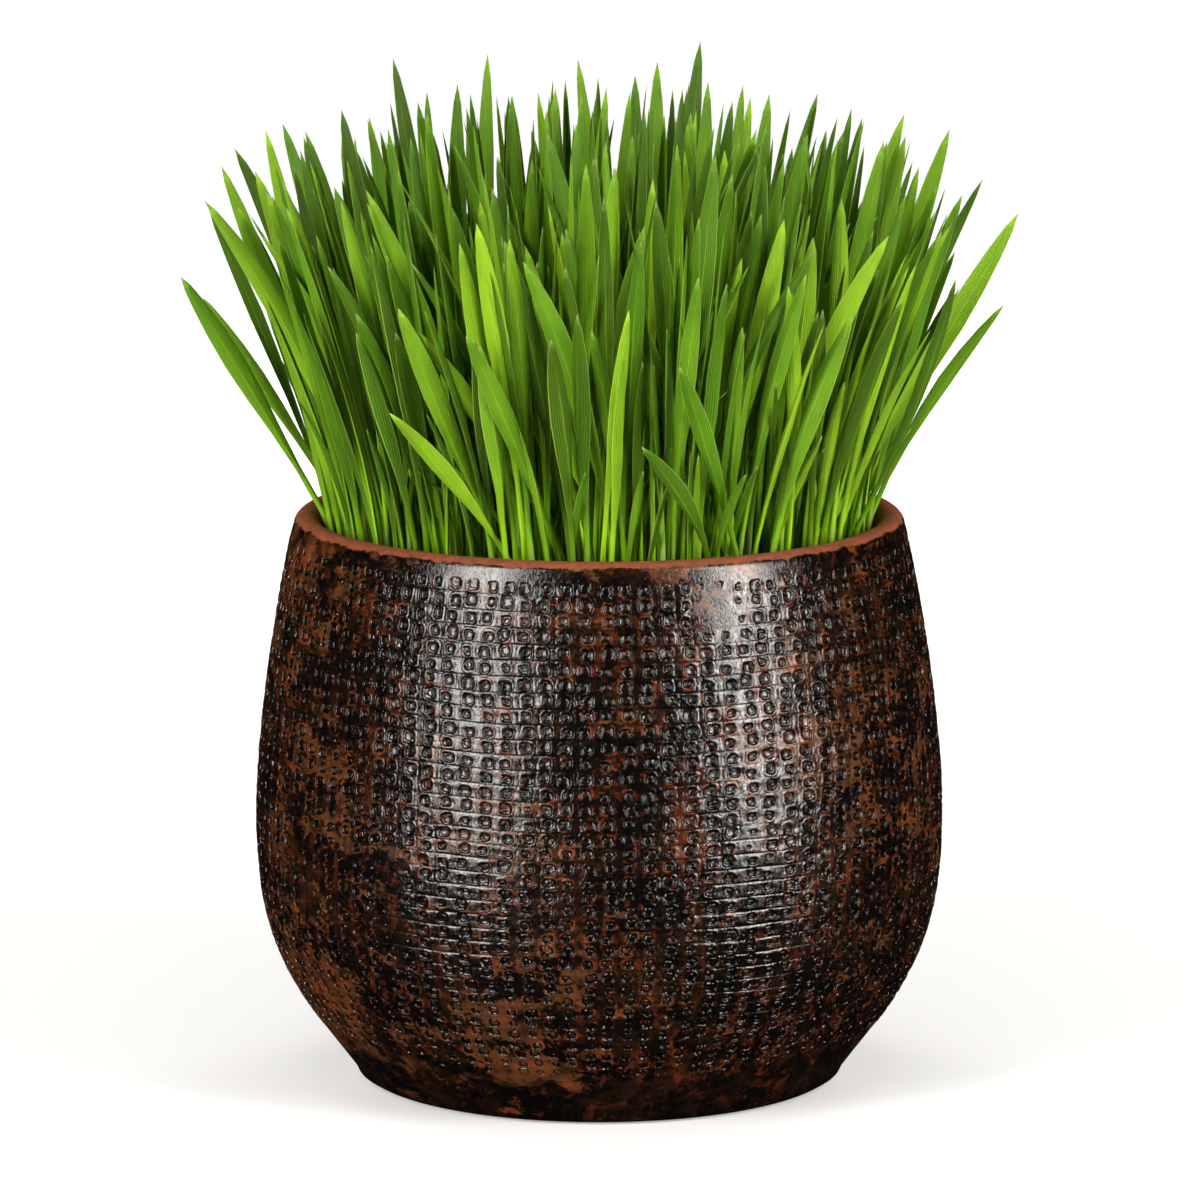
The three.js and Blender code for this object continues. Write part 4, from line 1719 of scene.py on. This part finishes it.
@dataclass
class SoilTop:
    """What lies on the soil: the crowns' root clumps, loose crumbs and the sown seeds' husks.

    Lengths are in millimetres and angles in radians.
    """

    level: float = 146.0
    reach: float = 75.5
    clump_radius: tuple[float, float] = (9.2, 9.8)
    clump_depth: float = 13.0
    clump_sides: int = 20
    clump_rings: int = 5
    clump_bands: int = 3
    clump_top: Span = (0.9, 0.99)
    heave: float = 2.4
    sunken: float = 0.4
    crumb_count: int = 2600
    crumb: tuple[float, float] = (0.5, 1.7)
    crumb_flatness: float = 0.75
    crumb_uneven: float = 1.6
    husk_count: int = 170
    husk: tuple[float, float, float] = (1.35, 1.1, 3.3)
    husk_uneven: float = 0.2
    husk_least: float = 0.75
    crumb_seed: int = 5
    husk_seed: int = 23
    tilt: Span = (-0.5, 0.5)
    roll: Span = (-0.4, 0.4)
    spin: Span = (0.0, 6.3)
    clump_noise: Noise = Noise(260.0, 3.0)
    lump_noise: Noise = Noise(500.0, 2.0)
    reader: TuftReader = field(default_factory=TuftReader)

    def _clump_tree(self) -> FormTree:
        """The tree that sets a short round clump with a heaved top on each point.

        Returns:
            A tree that takes Depth, Heave and Material.
        """
        inputs = {"Depth": Socket.FLOAT, "Heave": Socket.FLOAT, "Material": Socket.MATERIAL}
        tree = FormTree("form_clumps", inputs)
        low, high = self.clump_radius
        clump = tree.wire(
            "GeometryNodeMeshCone",
            {"fill_type": "TRIANGLE_FAN"},
            {
                "Vertices": self.clump_sides,
                "Side Segments": self.clump_bands,
                "Fill Segments": self.clump_rings,
                "Radius Top": high * MM,
                "Radius Bottom": low * MM,
                "Depth": tree.given("Depth"),
            },
        )
        _, _, z = tree.parts(tree.wire("GeometryNodeInputPosition"))
        start, full = (tree.given("Depth") * share for share in self.clump_top)
        clump = tree.store(clump, "top", z.rise(start, full))
        stand = tree.real(tree.copies(tree.given("Geometry"), clump))
        bumps = tree.noise(tree.wire("GeometryNodeInputPosition"), self.clump_noise) - self.sunken
        rise = bumps * tree.attribute("top") * tree.given("Heave")
        tree.close(tree.pushed(stand, tree.vector(0.0, 0.0, rise)), tree.given("Material"))
        return tree

    def _scatter_tree(self) -> FormTree:
        """The tree that strews lumps or seeds by chance over a disc.

        Returns:
            A tree that takes Count, Reach, Size, Least, Lie, Uneven, Seed and Material.
        """
        inputs = {
            "Count": Socket.COUNT,
            "Reach": Socket.FLOAT,
            "Size": Socket.VECTOR,
            "Least": Socket.FLOAT,
            "Lie": Socket.FLOAT,
            "Uneven": Socket.FLOAT,
            "Seed": Socket.COUNT,
            "Material": Socket.MATERIAL,
        }
        tree = FormTree("strew", inputs)
        points = tree.wire("GeometryNodePoints", None, {"Count": tree.given("Count")})
        seed = tree.given("Seed")
        turn = tree.draw(0.0, 2 * math.pi, seed)
        out = tree.draw(0.0, 1.0, seed + 1.0).apply("SQRT") * tree.given("Reach")
        spot = tree.vector(out * turn.apply("COSINE"), out * turn.apply("SINE"), self.level * MM)
        points = tree.moved(points, spot)
        ball = {"Radius": 1.0, "Subdivisions": 1}
        lump = tree.wire("GeometryNodeMeshIcoSphere", None, ball, output="Mesh")
        size = tree.given("Size") * tree.draw(tree.given("Least"), 1.0, seed + 2.0)
        tilt = tree.vector(
            tree.given("Lie") + tree.draw(*self.tilt, seed + 3.0),
            tree.draw(*self.roll, seed + 4.0),
            tree.draw(*self.spin, seed + 5.0),
        )
        strewn = tree.real(tree.copies(points, lump, size, tilt))
        bumps = tree.noise(tree.wire("GeometryNodeInputPosition"), self.lump_noise) - 0.5
        way = tree.wire("GeometryNodeInputNormal")
        pushed = tree.pushed(strewn, way * (bumps * tree.given("Uneven")))
        tree.close(pushed, tree.given("Material"))
        return tree

    def build(self, nodes: Mapping[str, bpy.types.Object]) -> list[bpy.types.Object]:
        """Dress the soil's node and strew what lies on it.

        Args:
            nodes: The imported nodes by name.

        Returns:
            The pieces.
        """
        earth = DarkSoil().material()
        soil = nodes["soil"]
        soil.data.materials.clear()
        soil.data.materials.append(earth)
        crowns = np.array([self.reader.crown(nodes[name]) for name in tuft_names(nodes)]) * MM
        sizes = {"Depth": self.clump_depth * MM, "Heave": self.heave * MM, "Material": earth}
        clumps = self._clump_tree().form("root_clumps", points_mesh("crowns", crowns, {}), sizes)
        strew = self._scatter_tree()
        nothing = bpy.data.meshes.new("nothing")
        least, most = self.crumb
        crumb_sizes = {
            "Count": self.crumb_count,
            "Reach": self.reach * MM,
            "Size": (most * MM, most * MM, most * MM * self.crumb_flatness),
            "Least": least / most,
            "Lie": 0.0,
            "Uneven": self.crumb_uneven * MM,
            "Seed": self.crumb_seed,
            "Material": earth,
        }
        crumbs = strew.form("soil_crumbs", nothing, crumb_sizes)
        husk_sizes = {
            "Count": self.husk_count,
            "Reach": self.reach * MM,
            "Size": tuple(side * MM for side in self.husk),
            "Least": self.husk_least,
            "Lie": math.pi / 2,
            "Uneven": self.husk_uneven * MM,
            "Seed": self.husk_seed,
            "Material": SeedHusk().material(),
        }
        husks = strew.form("seed_husks", nothing, husk_sizes)
        for piece, slot in ((clumps, "soil"), (crumbs, "soil"), (husks, "grass")):
            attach(piece, BODY)
        return [clumps, crumbs, husks]


# The studio


WHITE: Colour = (1.0, 1.0, 1.0, 1.0)


class Reach(Enum):
    """What a lamp lights."""

    ALL = "all"
    GLOSS = "gloss alone"
    MATT = "all but gloss"


@dataclass(frozen=True)
class Lamp:
    """A soft box: where it stands round the pot, its size and its strength.

    The azimuth is in degrees, from the camera's side to its right, and lengths are in metres.
    """

    azimuth: float
    low: float
    high: float
    width: float
    distance: float
    radiance: float
    reach: Reach = Reach.ALL
    tint: tuple[float, float, float] = (1.0, 0.96, 0.9)


@dataclass
class Studio:
    """The camera, a pale floor and soft light, in metres and degrees."""

    distance: float = 2.2
    elevation: float = 11.75
    pitch: float = 10.34
    aim_height: float = 0.0772
    aside: float = 0.0002
    lens: float = 238.14
    sensor: float = 36.0
    floor_reach: float = 14.0
    floor_white: float = 0.85
    # The floor's glow, near the pot and far off: weaker near the pot as painted shade round the
    # foot
    floor_glow: Span = (0.28, 0.92)
    glow_from: Span = (0.1, 1.8)
    lamps: tuple[Lamp, ...] = (
        Lamp(-43.0, 0.02, 1.1, 0.46, 1.25, 12.4),
        Lamp(53.0, 0.02, 1.1, 0.30, 1.25, 18.5),
        Lamp(-148.0, 0.1, 1.1, 0.60, 1.40, 4.0, Reach.MATT),
        Lamp(150.0, 0.1, 1.1, 0.60, 1.40, 4.0, Reach.MATT),
        Lamp(-41.0, -0.32, 1.0, 0.38, 1.24, 1.7, Reach.GLOSS),
        Lamp(52.0, -0.32, 1.0, 0.20, 1.24, 3.4, Reach.GLOSS),
    )
    lamp_aim: float = 0.6
    top_size: float = 1.6
    top_power: float = 9.0
    top_place: tuple[float, float, float] = (0.0, -0.2, 1.8)
    sky_seen: float = 1.0
    sky_mirrored: float = 0.006
    sky_light: float = 0.07

    def build(self) -> None:
        """Make the camera, the floor, the lamps and the sky."""
        self._camera()
        self._floor()
        for number, lamp in enumerate(self.lamps):
            self._lamp(f"soft_box_{number + 1}", lamp)
        self._top_lamp()
        self._sky()

    def _camera(self) -> None:
        """Set the camera at the photograph's angle."""
        data = bpy.data.cameras.new("camera")
        data.lens = self.lens
        data.sensor_width = self.sensor
        camera = bpy.data.objects.new("camera", data)
        tilt = math.radians(self.elevation)
        camera.location = (
            self.aside,
            -self.distance * math.cos(tilt),
            self.aim_height + self.distance * math.sin(tilt),
        )
        camera.rotation_euler = (math.radians(90 - self.pitch), 0.0, 0.0)
        bpy.context.scene.collection.objects.link(camera)
        bpy.context.scene.camera = camera

    def _floor(self) -> None:
        """Lay the pale floor. For the camera it glows white, more weakly near the pot: far off the
        glow keeps the floor white where the lamps fall off, and near the pot the weaker glow is
        painted shade round the foot.
        """
        reach = self.floor_reach
        corners = [(-reach, -reach, 0), (reach, -reach, 0), (reach, reach, 0), (-reach, reach, 0)]
        mesh = bpy.data.meshes.new("floor")
        mesh.from_pydata(corners, [], [(0, 1, 2, 3)])
        floor = place("floor", mesh)
        g = Dressing("pale_floor")
        seen = g.wire("ShaderNodeLightPath", None, None, "Is Camera Ray")
        white = (self.floor_white, self.floor_white, self.floor_white, 1.0)
        matt = g.wire("ShaderNodeBsdfDiffuse", None, {"Color": white})
        # Painted shade: the glow is weakest near the pot, which darkens the floor round the foot;
        # further off it keeps the floor white
        away = g.vector_maths("LENGTH", g.place(), output=1).rise(*self.glow_from)
        strength = seen * g.between(away, *self.floor_glow)
        glow = g.wire("ShaderNodeEmission", None, {"Color": WHITE, "Strength": strength})
        mesh.materials.append(g.finish(g.wire("ShaderNodeAddShader", None, {0: matt, 1: glow})))
        floor.visible_glossy = False

    def _lamp(self, name: str, lamp: Lamp) -> None:
        """Stand a soft box round the pot, facing its axis.

        Args:
            name: The lamp's name.
            lamp: Its place, size and strength.
        """
        data = bpy.data.lights.new(name, "AREA")
        data.shape = "RECTANGLE"
        data.size = lamp.width
        data.size_y = lamp.high - lamp.low
        data.energy = lamp.radiance * math.pi * lamp.width * data.size_y
        data.color = lamp.tint
        light = bpy.data.objects.new(name, data)
        turn = math.radians(lamp.azimuth)
        out = Vector((math.sin(turn), -math.cos(turn), 0.0)) * lamp.distance
        spot = out + Vector((0.0, 0.0, (lamp.low + lamp.high) / 2))
        aim = Vector((0.0, 0.0, spot.z * self.lamp_aim)) - spot
        facing = aim.to_track_quat("-Z", "Y").to_matrix().to_4x4()
        light.matrix_world = Matrix.Translation(spot) @ facing
        light.visible_camera = False
        light.visible_diffuse = lamp.reach is not Reach.GLOSS
        light.visible_transmission = lamp.reach is not Reach.GLOSS
        light.visible_glossy = lamp.reach is not Reach.MATT
        bpy.context.scene.collection.objects.link(light)

    def _top_lamp(self) -> None:
        """Hang a wide, weak light overhead."""
        data = bpy.data.lights.new("overhead", "AREA")
        data.size = self.top_size
        data.energy = self.top_power
        light = bpy.data.objects.new("overhead", data)
        light.location = self.top_place
        light.visible_camera = False
        light.visible_glossy = False
        bpy.context.scene.collection.objects.link(light)

    def _sky(self) -> None:
        """Surround the set with white that the glaze hardly mirrors."""
        world = bpy.data.worlds.new("studio")
        bpy.context.scene.world = world
        world.use_nodes = True
        world.node_tree.nodes.clear()
        g = Graph(world.node_tree)
        seen = g.wire("ShaderNodeLightPath", None, None, "Is Camera Ray")
        mirrored = g.wire("ShaderNodeLightPath", None, None, "Is Glossy Ray")
        strength = g.between(mirrored, self.sky_light, self.sky_mirrored)
        strength = g.between(seen, strength, self.sky_seen)
        sky = g.wire("ShaderNodeBackground", None, {"Color": WHITE, "Strength": strength})
        g.node("ShaderNodeOutputWorld", None, {0: sky})
        view = bpy.context.scene.view_settings
        view.view_transform = "Standard"
        view.look = "None"
        view.exposure = 0.0
        view.gamma = 1.0


def main() -> None:
    """Build the studio, the planter and the grass, and note the sizes."""
    logging.basicConfig(level=logging.INFO, format="%(message)s")
    nodes = frame["nodes"]
    Studio().build()
    planter = Planter().build()
    LOG.info("%s: %d faces", planter.name, len(planter.data.polygons))
    for piece in SoilTop().build(nodes) + Stand().build(nodes):
        LOG.info("%s: %d faces", piece.name, len(piece.data.polygons))


if __name__ == "__main__":
    main()
